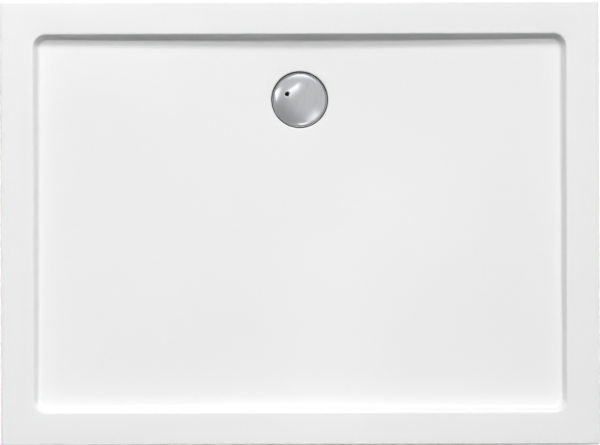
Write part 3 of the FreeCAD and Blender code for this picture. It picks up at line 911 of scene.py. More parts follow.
@dataclass
class TrayForm:
    """The acrylic sheet: rim, skirt, walls, floor and waste recess, all from the same outlines."""

    rim_width: float = 66 * MM
    sheet: float = 4 * MM
    basin_depth: float = 35 * MM
    corner_round: float = 6 * MM
    edge_round: float = 4.5 * MM
    foot_round: float = 0.8 * MM
    opening_round: float = 26 * MM
    lip_round: float = 4 * MM
    wall_slope: float = 0.35
    cove_round: float = 8 * MM
    floor_fall: float = 0.0175
    land_radius: float = 70 * MM
    recess_radius: float = 57 * MM
    recess_depth: float = 10 * MM
    recess_round: float = 3 * MM
    seat_round: float = 1.5 * MM
    waste_hole: float = 45 * MM
    corner_steps: int = 14
    long_steps: int = 64
    short_steps: int = 46
    lip_steps: int = 7
    cove_steps: int = 9
    floor_steps: int = 25
    floor_crowding: float = 0.8
    length: float = field(init=False)
    width: float = field(init=False)
    top: float = field(init=False)
    bottom: float = field(init=False)
    waste: np.ndarray = field(init=False)

    def __post_init__(self) -> None:
        """Reads the tray's own size and the waste's place from the frame."""
        low, high = (np.array(corner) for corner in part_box("tray_shell"))
        self.length, self.width = high[0] - low[0], high[1] - low[1]
        self.bottom, self.top = low[2], high[2]
        self.waste = middle("body_gasket")[:2]

    @property
    def land(self) -> float:
        """Height of the flat land round the waste."""
        return self.top - self.basin_depth

    @property
    def seat(self) -> float:
        """Height of the recess that the waste is clamped in."""
        return self.land - self.recess_depth

    def ring(
        self, half_length: float, half_width: float, radius: float, inset: Numbers = 0.0
    ) -> np.ndarray:
        """A rounded rectangle, moved inwards.

        A point is a point of the smaller rectangle through the corners' centres, plus the corner
        radius less the inset along the outward normal. The normal turns only at the corners.

        Args:
            half_length: Half the length along X.
            half_width: Half the width along Y.
            radius: Radius of the corners.
            inset: How far inwards to move, for the whole outline or for each of its points.

        Returns:
            Array of points by x and y, anticlockwise from the right end of the front side.
        """
        a, b = half_length - radius, half_width - radius
        centres = np.array([[a, -b], [a, b], [-a, b], [-a, -b]])
        starts = np.radians([-90.0, 0.0, 90.0, 180.0])
        turn = np.linspace(0, math.pi / 2, self.corner_steps)
        core, normal = [], []
        for corner, side_steps in enumerate((self.short_steps, self.long_steps) * 2):
            angle = np.append(starts[corner] + turn, np.full(side_steps, starts[corner] + turn[-1]))
            normal.append(np.column_stack((np.cos(angle), np.sin(angle))))
            share = np.linspace(0, 1, side_steps + 2)[1:-1]
            share = np.append(np.zeros(self.corner_steps), share)[:, None]
            core.append(centres[corner] * (1 - share) + centres[(corner + 1) % 4] * share)
        reach = np.atleast_1d(radius - np.asarray(inset))[:, None]
        return np.vstack(core) + reach * np.vstack(normal)

    def opening(self, inset: Numbers) -> np.ndarray:
        """The basin's outline, moved inwards from its edge at the rim."""
        halves = self.length / 2 - self.rim_width, self.width / 2 - self.rim_width
        return self.ring(*halves, self.opening_round, inset)

    def outside(self, inset: float) -> np.ndarray:
        """The tray's outline, moved inwards from its edge."""
        return self.ring(self.length / 2, self.width / 2, self.corner_round, inset)

    def floor_height(self, plan: np.ndarray) -> np.ndarray:
        """Height of the floor: it rises evenly with the distance from the land."""
        distance = np.linalg.norm(plan - self.waste, axis=-1)
        return self.land + self.floor_fall * np.maximum(0, distance - self.land_radius)

    def bearing(self, points: np.ndarray) -> np.ndarray:
        """Bearings of points from the waste."""
        x, y = (points[:, :2] - self.waste).T
        return np.arctan2(y, x)

    def circle(self, bearing: np.ndarray, radius: Numbers) -> np.ndarray:
        """Points round the waste at given bearings."""
        return self.waste + radius * around(1.0, bearing, 0.0)[:, :2]

    def basin_rows(self, under: float) -> np.ndarray:
        """Rows of points from the rim down the wall, over the floor and into the waste recess.

        The wall leans by its slope, and its foot is found by putting the floor's height there
        into the wall's drop a few times over. Its lip and its cove are curves
        (1-t)²a + 2t(1-t)p + t²b between their tangent points, and the floor runs straight from
        the cove to the land.

        Args:
            under: How far the surface lies under the visible one.

        Returns:
            Array of rows by points by three coordinates.
        """
        lean = under * math.hypot(1, self.wall_slope)
        foot_inset = np.zeros(1)
        for _ in range(4):
            plan = self.opening(foot_inset - lean)
            foot_inset = self.wall_slope * (self.top - self.floor_height(plan) + under)
        foot = level(plan, self.floor_height(plan) - under)
        lip_inset = self.wall_slope * under - lean
        lip_plan = self.opening(lip_inset)
        lip = level(lip_plan, self.top - under)
        up = unit(lip - foot)
        outwards = unit(level(self.opening(lip_inset - 1.0) - lip_plan, 0.0))
        land_edge = level(self.circle(self.bearing(foot), self.land_radius), self.land - under)
        inwards = unit(land_edge - foot)
        lean_angle = math.atan(self.wall_slope)
        lip_reach = max(self.lip_round - under, LEAST_ROUND)
        lip_reach *= math.tan((math.pi / 2 - lean_angle) / 2)
        cove_reach = (self.cove_round + under) / math.tan((math.pi / 2 + lean_angle) / 2)
        lip_rows = soft_corner(lip, outwards * lip_reach, -up * lip_reach, self.lip_steps)
        cove_rows = soft_corner(foot, up * cove_reach, inwards * cove_reach, self.cove_steps)
        bearing = self.bearing(cove_rows[-1])
        share = np.linspace(0, 1, self.floor_steps + 1)[1:, None, None] ** self.floor_crowding
        edge = self.circle(bearing, self.land_radius)
        plan = cove_rows[-1][:, :2] * (1 - share) + edge * share
        floor_rows = level(plan, self.floor_height(plan) - under)
        section = rounded(
            [
                (self.land_radius - 1 * MM, self.land - under, 0.0),
                (
                    self.recess_radius + under,
                    self.land - under,
                    max(self.recess_round - under, LEAST_ROUND),
                ),
                (self.recess_radius + under, self.seat - under, self.seat_round),
                (self.waste_hole, self.seat - under, 0.0),
            ],
            closed=False,
        )
        recess_rows = level(self.circle(bearing, section[:, :1, None]), section[:, 1:])
        return np.concatenate((lip_rows, cove_rows, floor_rows, recess_rows))


@dataclass
class Tray:
    """The formed sheet, its resin backing and its board."""

    form: TrayForm
    resin_top: float = 145.7 * MM
    resin_skin: float = 3 * MM
    resin_inset: float = 10 * MM
    bond_gap: float = 0.3 * MM
    shoulder: float = 9 * MM
    shoulder_round: float = 5 * MM
    bed_foot: float = 106 * MM
    bed_round: float = 9 * MM
    bed_step: float = 12 * MM
    bed_hole: float = 68 * MM

    def shell(self) -> Surface:
        """The acrylic sheet: skirt, rim and basin, then back along the underside.

        Returns:
            The closed surface.
        """
        f = self.form
        section = rounded(
            [
                (f.sheet, f.top - f.sheet, 0.5 * MM),
                (f.sheet, f.bottom, f.foot_round),
                (0.0, f.bottom, f.foot_round),
                (0.0, f.top, f.edge_round),
                (f.corner_round - LEAST_ROUND, f.top, 0.0),
            ],
            steps=8,
            closed=False,
        )
        skirt = np.stack([level(f.outside(inset), height) for inset, height in section])
        rows = np.concatenate((skirt, f.basin_rows(0.0), f.basin_rows(f.sheet)[::-1]))
        return woven(rows, round_rows=True)

    def resin(self) -> Surface:
        """The resin: a skin under the rim and outside the walls, and a level bed for the board.

        Returns:
            The closed surface.
        """
        f = self.form
        gap = f.sheet + self.bond_gap
        under = gap + self.resin_skin
        skin_foot = self.resin_top - self.resin_skin
        edge = f.ring(
            f.length / 2 - self.resin_inset, f.width / 2 - self.resin_inset, f.corner_round
        )
        out = -under * math.hypot(1, f.wall_slope)
        wall_top = out + f.wall_slope * under
        wall_foot = out + f.wall_slope * (f.top - self.bed_foot)
        section = rounded(
            [
                (wall_top - self.shoulder, skin_foot, 0.0),
                (wall_top, skin_foot, self.shoulder_round),
                (wall_foot, self.bed_foot, self.bed_round),
                (wall_foot + self.bed_step, self.bed_foot, 0.0),
            ],
            steps=8,
            closed=False,
        )
        rows = [level(edge, self.resin_top), level(edge, skin_foot)]
        rows += [level(f.opening(inset), height) for inset, height in section]
        hole = f.circle(f.bearing(rows[-1]), self.bed_hole)
        rows += [level(hole, self.bed_foot), level(hole, f.land - gap)]
        inner = f.basin_rows(gap)
        above_land = inner[:, :, 2].max(axis=1) > f.land - gap + 0.1 * MM
        return woven(np.concatenate((np.stack(rows), inner[above_land][::-1])), round_rows=True)

    def build(self) -> None:
        """Makes the tray's pieces."""
        place_piece(
            "acrylic_sheet", self.shell(), ACRYLIC, TRAY_BODY, ["tray_shell"], 60.0
        )
        place_piece(
            "resin_underside", self.resin(), RESIN, TRAY_BODY, ["resin_backing"], 50.0
        )
        dress_node("support_board", BOARD)


# ---------------------------------------------------------------- feet


@dataclass
class Leg:
    """One leg: a bracket under the board, a threaded rod with its nuts, and a foot."""

    name: str
    sheet: float = 2.5 * MM
    crown: float = 46 * MM
    splay: float = 5 * MM
    flange: float = 22 * MM
    width: float = 40 * MM
    bend: float = 3 * MM
    crown_height: float = 48 * MM
    flange_height: float = 90 * MM
    nut_flats: float = 19 * MM
    nut_clearance: float = 0.1 * MM
    nut_chamfer: float = 0.9 * MM
    lock_chamfer: float = 0.8 * MM
    weld_nut: float = 10 * MM
    lock_nut: float = 7 * MM
    pitch: float = 1.75 * MM
    thread_depth: float = 0.75 * MM
    thread_rows: int = 6
    rod_radius: float = 6 * MM
    rod_end: float = 1.2 * MM
    rod_segments: int = 40
    collar: Pair = (22.5 * MM, 30.5 * MM)
    foot_flats: float = 50 * MM
    foot_sides: int = 8
    foot_corner: float = 1.06
    boss_flats: float = 26 * MM
    foot_base: float = 6 * MM
    boss_height: float = 22 * MM
    socket: float = 6.3 * MM
    pad_segments: int = 96
    rib_span: Pair = (12 * MM, 21.5 * MM)
    rib_foot: float = 6.2 * MM
    rib_head: float = 15 * MM
    rib_half: float = 0.8 * MM
    screw_flats: float = 7 * MM
    screw_head: float = 3.4 * MM
    washer: Pair = (5.5 * MM, 0.8 * MM)
    shank: Pair = (2 * MM, 8 * MM)
    screw_tip: float = 3 * MM
    screw_chamfer: float = 0.4 * MM
    screw_segments: int = 48
    screw_turn: float = 0.4

    @property
    def place(self) -> np.ndarray:
        """Where the leg stands, with no height."""
        return np.array([*middle(f"foot_pad_{self.name}")[:2], 0.0])

    def bracket(self) -> Surface:
        """A hat of folded sheet with its flanges up and a nut welded inside its crown.

        Returns:
            Both as one surface.
        """
        half = self.crown / 2 - self.sheet / 2
        mouth = half + self.splay
        foot, head = self.crown_height + self.sheet / 2, self.flange_height - self.sheet / 2
        tip = self.crown / 2 + self.splay + self.flange
        path = rounded(
            [
                (-tip, head, 0.0),
                (-mouth, head, self.bend),
                (-half, foot, self.bend),
                (half, foot, self.bend),
                (mouth, head, self.bend),
                (tip, head, 0.0),
            ],
            steps=7,
            closed=False,
        )
        keep = np.append(True, np.linalg.norm(np.diff(path, axis=0), axis=1) > 1e-6)
        hat = folded_sheet(path[keep], self.sheet, self.width)
        low = self.crown_height + self.sheet
        bore = self.rod_radius + self.nut_clearance
        high = low + self.weld_nut
        return hat + chamfered_prism(self.nut_flats, low, high, bore, self.nut_chamfer)

    def nut(self) -> Surface:
        """The thin nut that is screwed up against the crown."""
        low, bore = self.crown_height - self.lock_nut, self.rod_radius + self.nut_clearance
        return chamfered_prism(self.nut_flats, low, self.crown_height, bore, self.lock_chamfer)

    def screws(self) -> Surface:
        """Two screws: a washer face, a hexagon head and a short shank into the board.

        Returns:
            Both as one surface, one in each flange.
        """
        head = self.flange_height - self.sheet
        washer, thick = self.washer
        shank, long = self.shank
        face = head - 0.05 * MM
        section = rounded(
            [
                (0.0, head - thick, 0.0),
                (washer, head - thick, 0.3 * MM),
                (washer, face, 0.0),
                (shank, face, 0.0),
                (shank, head + long, 0.0),
                (0.0, head + long + self.screw_tip, 0.0),
            ],
            closed=False,
        )
        low = head - thick - self.screw_head
        chamfer, segments = self.screw_chamfer, self.screw_segments
        hexagon = chamfered_prism(
            self.screw_flats, low, head - thick, chamfer, chamfer, segments=segments
        )
        screw = revolved(section, segments, closed=False) + hexagon
        reach = self.crown / 2 + self.splay + self.flange / 2
        other = screw.repeated(1, first=self.screw_turn)
        return screw.moved((-reach, 0, 0)) + other.moved((reach, 0, 0))

    def rod(self) -> Surface:
        """A rod with a right-hand thread and a hexagon near its foot.

        The radius at height z and angle a is the thread's root plus its depth times a wave of z
        over the pitch less a over a full turn: a triangle wave, cut off flat at its crests and
        roots. Both ends are turned down.

        Returns:
            The rod and its hexagon as one surface.
        """
        low, high = (corner[2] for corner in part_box(f"foot_rod_{self.name}"))
        rows = int((high - low) / self.pitch * self.thread_rows)
        height = np.linspace(low, high, rows)[:, None]
        angle = bearings(self.rod_segments)[None, :]
        phase = (height / self.pitch - angle / FULL_TURN) % 1.0
        wave = np.clip(1.25 - 2.5 * np.abs(2 * phase - 1), 0, 1)
        radius = self.rod_radius - self.thread_depth * (1 - wave)
        end = np.minimum(height - low, high - height)
        radius = np.minimum(radius, self.rod_radius - self.rod_end + end)
        foot, head = around(0.0, angle, low), around(0.0, angle, high)
        shaft = woven(np.concatenate((foot, around(radius, angle, height), head)))
        bore = self.rod_radius - 1 * MM
        return shaft + chamfered_prism(self.nut_flats, *self.collar, bore, self.nut_chamfer)

    def pad(self) -> Surface:
        """An eight-sided foot with a softly bevelled base, a boss and a socket.

        Each row of the section has a share of the polygon: the reach is the section's radius
        times the polygon's reach over its half width across flats, and no more than the foot's
        corner lets it be. The socket is round.

        Returns:
            The closed surface about the upright axis.
        """
        half, boss = self.foot_flats / 2, self.boss_flats / 2
        base, top = self.foot_base, self.boss_height
        section = rounded(
            [
                (0.0, 0.0, 0.0),
                (half, 0.0, 1 * MM),
                (half, base - 1.5 * MM, 1.5 * MM),
                (half - 3 * MM, base, 1.5 * MM),
                (boss + 1.5 * MM, base + 0.6 * MM, 3 * MM),
                (boss, top - 4 * MM, 2 * MM),
                (boss - 3 * MM, top, 1 * MM),
                (self.socket, top, 0.6 * MM),
                (self.socket, base, 0.5 * MM),
                (0.0, base, 0.0),
            ],
            steps=6,
            closed=False,
        )
        angle = bearings(self.pad_segments)[None, :]
        radius, height = section[:, :1], section[:, 1:]
        share = np.minimum(polygon_reach(angle, 2.0, self.foot_sides), self.foot_corner)
        inside = (radius <= self.socket + 1e-7) & (height >= base - 1e-7)
        return woven(around(radius * np.where(inside, 1.0, share), angle, height))

    def ribs(self) -> Surface:
        """Thin ribs between the foot's base and its boss, one at each corner.

        Returns:
            All ribs as one surface.
        """
        root, tip = self.rib_span
        rib = rounded(
            [
                (root, self.rib_foot, 0.0),
                (tip, self.rib_foot, 0.3 * MM),
                (root + 0.4 * MM, self.rib_head, 0.3 * MM),
            ],
            steps=4,
        )
        front = np.column_stack((rib[:, 0], np.full(len(rib), -self.rib_half), rib[:, 1]))
        centre = front.mean(axis=0) + np.zeros_like(front)
        mirror = np.array([1, -1, 1])
        wedge = woven(np.stack((centre, front, front * mirror, centre * mirror)))
        return wedge.repeated(self.foot_sides, first=math.pi / self.foot_sides)

    def build(self) -> None:
        """Makes the leg's pieces at its place."""
        leg, here, slot = self.name, self.place, "zinc_steel"
        bracket, nut = self.bracket().moved(here), self.nut().moved(here)
        place_piece(f"bracket_{leg}", bracket, ZINC, TRAY_BODY, ["leg_brackets"])
        place_piece(f"lock_nut_{leg}", nut, ZINC, TRAY_BODY, ["lock_nuts"], 25.0)
        screws, rod = self.screws().moved(here), self.rod().moved(here)
        place_piece(f"screws_{leg}", screws, ZINC, TRAY_BODY, (), 25.0)
        place_piece(f"threaded_rod_{leg}", rod, ZINC, f"rod_{leg}", [f"foot_rod_{leg}"])
        pad, plate = (self.pad() + self.ribs()).moved(here), f"foot_plate_{leg}"
        place_piece(plate, pad, FOOT_PLASTIC, f"foot_{leg}", [f"foot_pad_{leg}"])


# ---------------------------------------------------------------- waste and trap


@dataclass
class Waste:
    """The flange, gasket, trap, outlet and lift-out pieces, all turned about the waste's axis."""

    form: TrayForm
    flange_radius: float = 54.5 * MM
    flange_top: float = 107.5 * MM
    sleeve: Pair = (40.5 * MM, 43.5 * MM)
    sleeve_foot: float = 80 * MM
    ledge: Pair = (37 * MM, 86 * MM)
    gasket_ring: Pair = (46 * MM, 53 * MM)
    seal_gap: float = 0.1 * MM
    trap_top: float = 98 * MM
    cup: Pair = (51 * MM, 54 * MM)
    cup_foot: float = 28 * MM
    cup_floor: float = 3 * MM
    cup_round: float = 4 * MM
    rib_count: int = 24
    rib_depth: float = 1 * MM
    rib_stretch: float = 1.6
    rib_span: Pair = (33 * MM, 52 * MM)
    neck: Pair = (43.8 * MM, 82 * MM)
    well: Pair = (31 * MM, 33.5 * MM)
    weir: float = 72 * MM
    stub_height: float = 52 * MM
    stub: Pair = (21 * MM, 25.5 * MM)
    stub_reach: float = 75 * MM
    pipe: Pair = (18.2 * MM, 20 * MM)
    pipe_root: float = 21 * MM
    pipe_reach: float = 150 * MM
    collar: Pair = (77 * MM, 80 * MM)
    nut_span: Pair = (62 * MM, 84 * MM)
    nut_bore: float = 25.8 * MM
    nut_reach: float = 30 * MM
    nut_gap: float = 0.3 * MM
    grip_count: int = 12
    grip_depth: float = 1.1 * MM
    grip_flatness: float = 0.7
    dip: Pair = (22 * MM, 24.5 * MM)
    dip_span: Pair = (38 * MM, 92.2 * MM)
    dip_collar: Pair = (40.1 * MM, 6 * MM)
    cord: float = 1.3 * MM
    cord_set_in: float = 0.8
    cord_segments: int = 16
    spigot_cord: float = 1 * MM
    pipe_segments: int = 96
    nut_segments: int = 144

    @property
    def axis(self) -> np.ndarray:
        """Where the waste's upright axis is, with no height."""
        return np.array([*self.form.waste, 0.0])

    def along_outlet(self, shape: Surface) -> Surface:
        """A shape about the upright axis, laid along the outlet's."""
        return shape.laid_along_y().moved((0, 0, self.stub_height))

    def flange(self) -> Surface:
        """The clamping flange with its threaded sleeve and the ledge inside it.

        Returns:
            The closed surface about the upright axis.
        """
        bore, sleeve = self.sleeve
        ledge, ledge_top = self.ledge
        seat, top = self.form.seat, self.flange_top
        section = [
            (ledge, self.sleeve_foot, 0.4 * MM),
            (sleeve, self.sleeve_foot, 0.8 * MM),
            (sleeve, seat, 0.3 * MM),
            (self.flange_radius, seat, 0.4 * MM),
            (self.flange_radius, top, 1.2 * MM),
            (bore, top, 0.8 * MM),
            (bore, ledge_top, 0.4 * MM),
            (ledge, ledge_top, 0.4 * MM),
        ]
        return revolved(rounded(section))

    def gasket(self) -> Surface:
        """The rubber ring between shell and trap, with rounded edges.

        Returns:
            The closed surface about the upright axis.
        """
        inner, outer = self.gasket_ring
        low, high = self.trap_top, self.form.seat - self.form.sheet
        section = [
            (inner, low, 0.7 * MM),
            (outer, low, 1 * MM),
            (outer, high, 1 * MM),
            (inner, high, 0.7 * MM),
        ]
        return revolved(rounded(section))

    def gap_shade_ring(self) -> Surface:
        """A black rubber ring that fills the recess round the flange: painted shade that darkens
        the gap round the cover.

        Returns:
            The closed surface about the upright axis.
        """
        inner = self.flange_radius + self.seal_gap
        outer = self.form.recess_radius - self.seal_gap
        low, high = self.form.seat + self.seal_gap / 2, self.flange_top
        section = [
            (inner, low, 0.4 * MM),
            (outer, low, 1 * MM),
            (outer, high, 0.8 * MM),
            (inner, high, 0.6 * MM),
        ]
        return revolved(rounded(section))

    def trap(self) -> Surface:
        """The trap's cup with its well, and its side outlet as a second tube through the wall.

        Returns:
            Cup, outlet and grip ribs as one surface.
        """
        inner, outer = self.cup
        foot, floor = self.cup_foot, self.cup_foot + self.cup_floor
        neck, neck_foot = self.neck
        bore, well = self.well
        band, band_top = outer - self.rib_depth, self.rib_span[1] + 2 * MM
        cup = [
            (0.0, foot, 0.0),
            (band - self.cup_round, foot, 1 * MM),
            (band, foot + self.cup_round, 3 * MM),
            (band, band_top, 0.5 * MM),
            (outer, band_top + self.rib_depth, 0.5 * MM),
            (outer, self.trap_top, 0.8 * MM),
            (neck, self.trap_top, 0.6 * MM),
            (neck, neck_foot, 0.4 * MM),
            (inner, neck_foot, 0.5 * MM),
            (inner, floor, 3 * MM),
            (well, floor, 1 * MM),
            (well, self.weir, 0.9 * MM),
            (bore, self.weir, 0.9 * MM),
            (bore, floor, 1.5 * MM),
            (0.0, floor, 0.0),
        ]
        tube_bore, tube = self.stub
        stub = [
            (tube_bore, inner - 1 * MM, 0.2 * MM),
            (tube_bore, self.stub_reach, 0.5 * MM),
            (tube, self.stub_reach, 0.8 * MM),
            (tube, inner - 1 * MM, 0.2 * MM),
        ]
        outlet = self.along_outlet(revolved(rounded(stub)))
        return revolved(rounded(cup, closed=False)) + outlet + self.grip_ribs()

    def grip_ribs(self) -> Surface:
        """Upright half-round bars low on the cup, to turn it by hand.

        A bar's radius at share t of its height, from -1 to 1, is its depth times sqrt(1 - t^6), and
        every bar is the first one turned about the axis.

        Returns:
            All bars as one surface.
        """
        share = np.linspace(-1, 1, 9)[:, None]
        across = bearings(10)[None, :]
        size = self.rib_depth * np.sqrt(1 - share**6)
        height = np.interp(share, (-1, 1), self.rib_span) + 0 * across
        out = self.cup[1] - self.rib_depth + size * np.cos(across)
        aside = self.rib_stretch * size * np.sin(across)
        return woven(np.stack((out, aside, height), axis=-1)).repeated(self.rib_count)

    def outlet(self) -> Surface:
        """The outlet pipe with the collar that the nut draws up.

        Returns:
            The closed surface along +Y.
        """
        bore, radius = self.pipe
        start, end = self.collar
        nut_end = self.nut_span[1]
        section = [
            (bore, start, 0.3 * MM),
            (self.stub[1], start, 0.4 * MM),
            (self.stub[1], end, 0.4 * MM),
            (self.pipe_root, end, 0.6 * MM),
            (self.pipe_root, nut_end, 0.3 * MM),
            (radius, nut_end + 0.6 * MM, 0.3 * MM),
            (radius, self.pipe_reach, 0.7 * MM),
            (bore, self.pipe_reach, 0.5 * MM),
        ]
        return self.along_outlet(revolved(rounded(section), self.pipe_segments))

    def nut(self) -> Surface:
        """The union nut: a ring with soft grips.

        The outside's reach at angle a is the nut's radius less the grips' depth times
        ((1 - cos na) / 2) to the power of their flatness, for n grips, and this fades out towards
        the end face.

        Returns:
            The closed surface along +Y.
        """
        outer = self.nut_reach
        start, end = self.nut_span
        mouth, shelf = self.pipe_root + self.nut_gap, self.collar[1] + self.nut_gap
        section = rounded(
            [
                (self.nut_bore, start, 0.4 * MM),
                (outer, start, 1.2 * MM),
                (outer, end - 3 * MM, 2 * MM),
                (outer - 2.5 * MM, end, 0.8 * MM),
                (mouth, end, 0.4 * MM),
                (mouth, shelf, 0.3 * MM),
                (self.nut_bore, shelf, 0.3 * MM),
            ]
        )
        angle = bearings(self.nut_segments)[None, :]
        radius, height = section[:, :1], section[:, 1:]
        fade = np.clip((radius - outer + 2 * MM) / (2 * MM), 0, 1)
        hollow = ((1 - np.cos(self.grip_count * angle)) / 2) ** self.grip_flatness
        reach = radius - self.grip_depth * fade * hollow
        return self.along_outlet(woven(around(reach, angle, height), round_rows=True))

    def dip_tube(self) -> Surface:
        """The dip tube, hung by its collar.

        Returns:
            The closed surface about the upright axis.
        """
        bore, radius = self.dip
        foot, head = self.dip_span
        collar, thick = self.dip_collar
        section = [
            (bore, foot, 0.6 * MM),
            (radius, foot, 0.8 * MM),
            (radius, head - thick, 2 * MM),
            (collar, head - thick, 0.7 * MM),
            (collar, head, 0.7 * MM),
            (bore + 3 * MM, head - 0.05 * MM, 3 * MM),
            (bore, head - 4 * MM, 2 * MM),
        ]
        return revolved(rounded(section))

    def cord_ring(self, radius: float, height: float, thick: float) -> Surface:
        """A ring of round cord: a circle of the cord's section turned about the axis.

        Args:
            radius: Radius of the ring's middle line.
            height: Height of the ring.
            thick: Radius of the cord.

        Returns:
            The closed surface about the upright axis.
        """
        circle = around(thick, bearings(self.cord_segments), 0.0)[:, :2]
        return revolved(circle + np.array([radius, height]))

    def build(self) -> None:
        """Makes the waste's pieces."""
        at, tray, white = self.axis, TRAY_BODY, WHITE_PLASTIC
        rings = (self.flange(), self.gasket(), self.gap_shade_ring())
        flange, gasket, gap_shade_ring = (shape.moved(at) for shape in rings)
        place_piece("clamping_flange", flange, white, tray, ["waste_flange"])
        place_piece("trap_gasket", gasket, RUBBER, tray, ["body_gasket"])
        # A black ring in the gap round the flange: painted shade for that gap.
        place_piece("recess_shade_ring", gap_shade_ring, RUBBER, tray)
        drains = (self.trap(), self.outlet(), self.nut())
        trap, pipe, nut = (shape.moved(at) for shape in drains)
        place_piece("bottle_trap", trap, white, tray, ["trap_body"])
        place_piece("spigot_pipe", pipe, white, tray, ["outlet_pipe"])
        place_piece("grip_nut", nut, white, tray, ["union_nut"], 30.0)
        tube = self.dip_tube().moved(at)
        place_piece("lift_out_tube", tube, GREY_PLASTIC, "dip_tube", ["dip_tube"])
        collar, thick = self.dip_collar
        reach, height = collar - self.cord * self.cord_set_in, self.dip_span[1] - thick / 2
        ring = self.cord_ring(reach, height, self.cord)
        place_piece("tube_ring", ring.moved(at), RUBBER, "dip_tube")
        between = sum(self.stub) / 2, (self.stub_reach + self.collar[0]) / 2
        spigot_seal = self.along_outlet(self.cord_ring(*between, self.spigot_cord))
        place_piece("spigot_seal", spigot_seal.moved(at), RUBBER, tray)
        dress_node("strainer", DARK_PLASTIC)


@dataclass
class Cover:
    """The chromed cap: a shallow dome with a turned-down edge, four legs and a lifting hole."""

    form: TrayForm
    radius: float = 55 * MM
    top: float = 118.5 * MM
    crown: float = 1.1 * MM
    shoulder: float = 47.5 * MM
    shoulder_drop: float = 3 * MM
    shoulder_power: float = 2.4
    edge_sink: float = 0.3
    hem: float = 112.3 * MM
    sheet: float = 1.8 * MM
    hole: float = 4.2 * MM
    hole_place: Pair = (-25.5 * MM, 11.5 * MM)
    lip_shares: Place = (0.0, 0.0, 0.006)
    lip_drops: Place = (1.62 * MM, 0.5 * MM, 0.12 * MM)
    face_start: float = 0.014
    face_crowding: float = 1.6
    face_rows: int = 54
    back_rows: int = 15
    segments: int = 192
    leg_count: int = 4
    leg_circle: float = 48 * MM
    leg_size: Pair = (3 * MM, 14 * MM)
    leg_foot: float = 107.7 * MM
    leg_round: float = 1 * MM

    def height(self, radius: np.ndarray) -> np.ndarray:
        """Height of the dome: a parabola to the shoulder, then a steepening fall to the edge.

        Past the shoulder, at share t of the way to the edge, the fall is the edge's sink times t
        of the crown, and the shoulder's drop times 1 - sqrt(1 - t^p), for the shoulder's power p.

        Args:
            radius: Distances from the cover's axis.

        Returns:
            The height of the upper face at each distance.
        """
        dome = self.top - self.crown * (radius / self.shoulder) ** 2
        turn = np.clip((radius - self.shoulder) / (self.radius - self.shoulder), 0, 1)
        fall = self.shoulder_drop * (1 - np.sqrt(np.clip(1 - turn**self.shoulder_power, 0, 1)))
        edge = self.top - self.crown * (1 + self.edge_sink * turn) - fall
        return np.where(radius < self.shoulder, dome, edge)

    def crown_rows(self, share: np.ndarray, reach: float, drop: Numbers) -> np.ndarray:
        """Rows of points between the lifting hole's edge and the cover's.

        A row at share t joins the two circles: each of its points lies t of the way from the
        hole's edge to the cover's edge, at the same bearing.

        Args:
            share: The share t of each row.
            reach: Radius of the outer circle.
            drop: How far the rows lie below the upper face, in all or for each row.

        Returns:
            Array of rows by points by three coordinates.
        """
        t = share[:, None, None]
        spoke = around(1.0, bearings(self.segments), 0.0)[:, :2]
        hole = np.array(self.hole_place) + self.hole * spoke
        plan = hole * (1 - t) + reach * spoke * t
        distance = np.minimum(np.linalg.norm(plan, axis=-1), self.radius)
        return level(plan, self.height(distance) - np.reshape(drop, (-1, 1)))

    def cap(self) -> Surface:
        """The cap: from the lifting hole to the edge, round the hem and back underneath.

        Returns:
            The closed surface.
        """
        inner, hem = self.radius - self.sheet, self.hem
        hole = self.crown_rows(np.array(self.lip_shares), self.radius, np.array(self.lip_drops))
        even = np.linspace(self.face_start, 1, self.face_rows)
        face = self.crown_rows(1 - (1 - even) ** self.face_crowding, self.radius, 0.0)
        radius = np.array([self.radius, self.radius, inner + 0.3 * MM, inner])[:, None]
        height = np.array([hem + 0.4 * MM, hem, hem, hem + 1.2 * MM])[:, None]
        edge = around(radius, bearings(self.segments)[None, :], height)
        inwards = np.linspace(1, 0, self.back_rows + 1)[1:]
        back = self.crown_rows(inwards, inner - 1.5 * MM, self.sheet)
        return woven(np.concatenate((hole, face, edge, back)), round_rows=True)

    def legs(self) -> Surface:
        """The legs of rounded section under the cap.

        Returns:
            All legs as one surface.
        """
        thick, deep = (value / 2 for value in self.leg_size)
        corners = ((-thick, -deep), (thick, -deep), (thick, deep), (-thick, deep))
        section = rounded([(*corner, self.leg_round) for corner in corners])
        low, high = self.leg_foot, self.hem + 3.4 * MM
        rows = (level(0 * section, low), level(section, low))
        rows += (level(section, high), level(0 * section, high))
        return woven(np.stack(rows)).moved((self.leg_circle, 0, 0)).repeated(self.leg_count)

    def build(self) -> None:
        """Makes the cover."""
        shape = (self.cap() + self.legs()).moved((*self.form.waste, 0.0))
        place_piece("chrome_cap", shape, CHROME, "waste_cover", ["waste_cover"], 50.0)


# ---------------------------------------------------------------- studio


@dataclass(frozen=True)
class Lamp:
    """A rectangular lamp that faces the middle of the tray."""

    name: str
    place: Place
    size: Pair
    power: float
    glossy: bool = False
    aim: Place = (0.0, 0.0, 0.12)
    spread: float = 180.0

    def hang(self) -> None:
        """Adds the lamp."""
        light = bpy.data.lights.new(self.name, "AREA")
        light.shape = "RECTANGLE"
        light.size, light.size_y = self.size
        light.energy = self.power
        light.spread = math.radians(self.spread)
        lamp = bpy.data.objects.new(self.name, light)
        bpy.context.scene.collection.objects.link(lamp)
        lamp.location = self.place
        lamp.rotation_mode = "QUATERNION"
        lamp.rotation_quaternion = (Vector(self.aim) - Vector(self.place)).to_track_quat("-Z", "Y")
        lamp.visible_camera = False
        lamp.visible_glossy = self.glossy
        LOG.info("lamp %s", self.name)


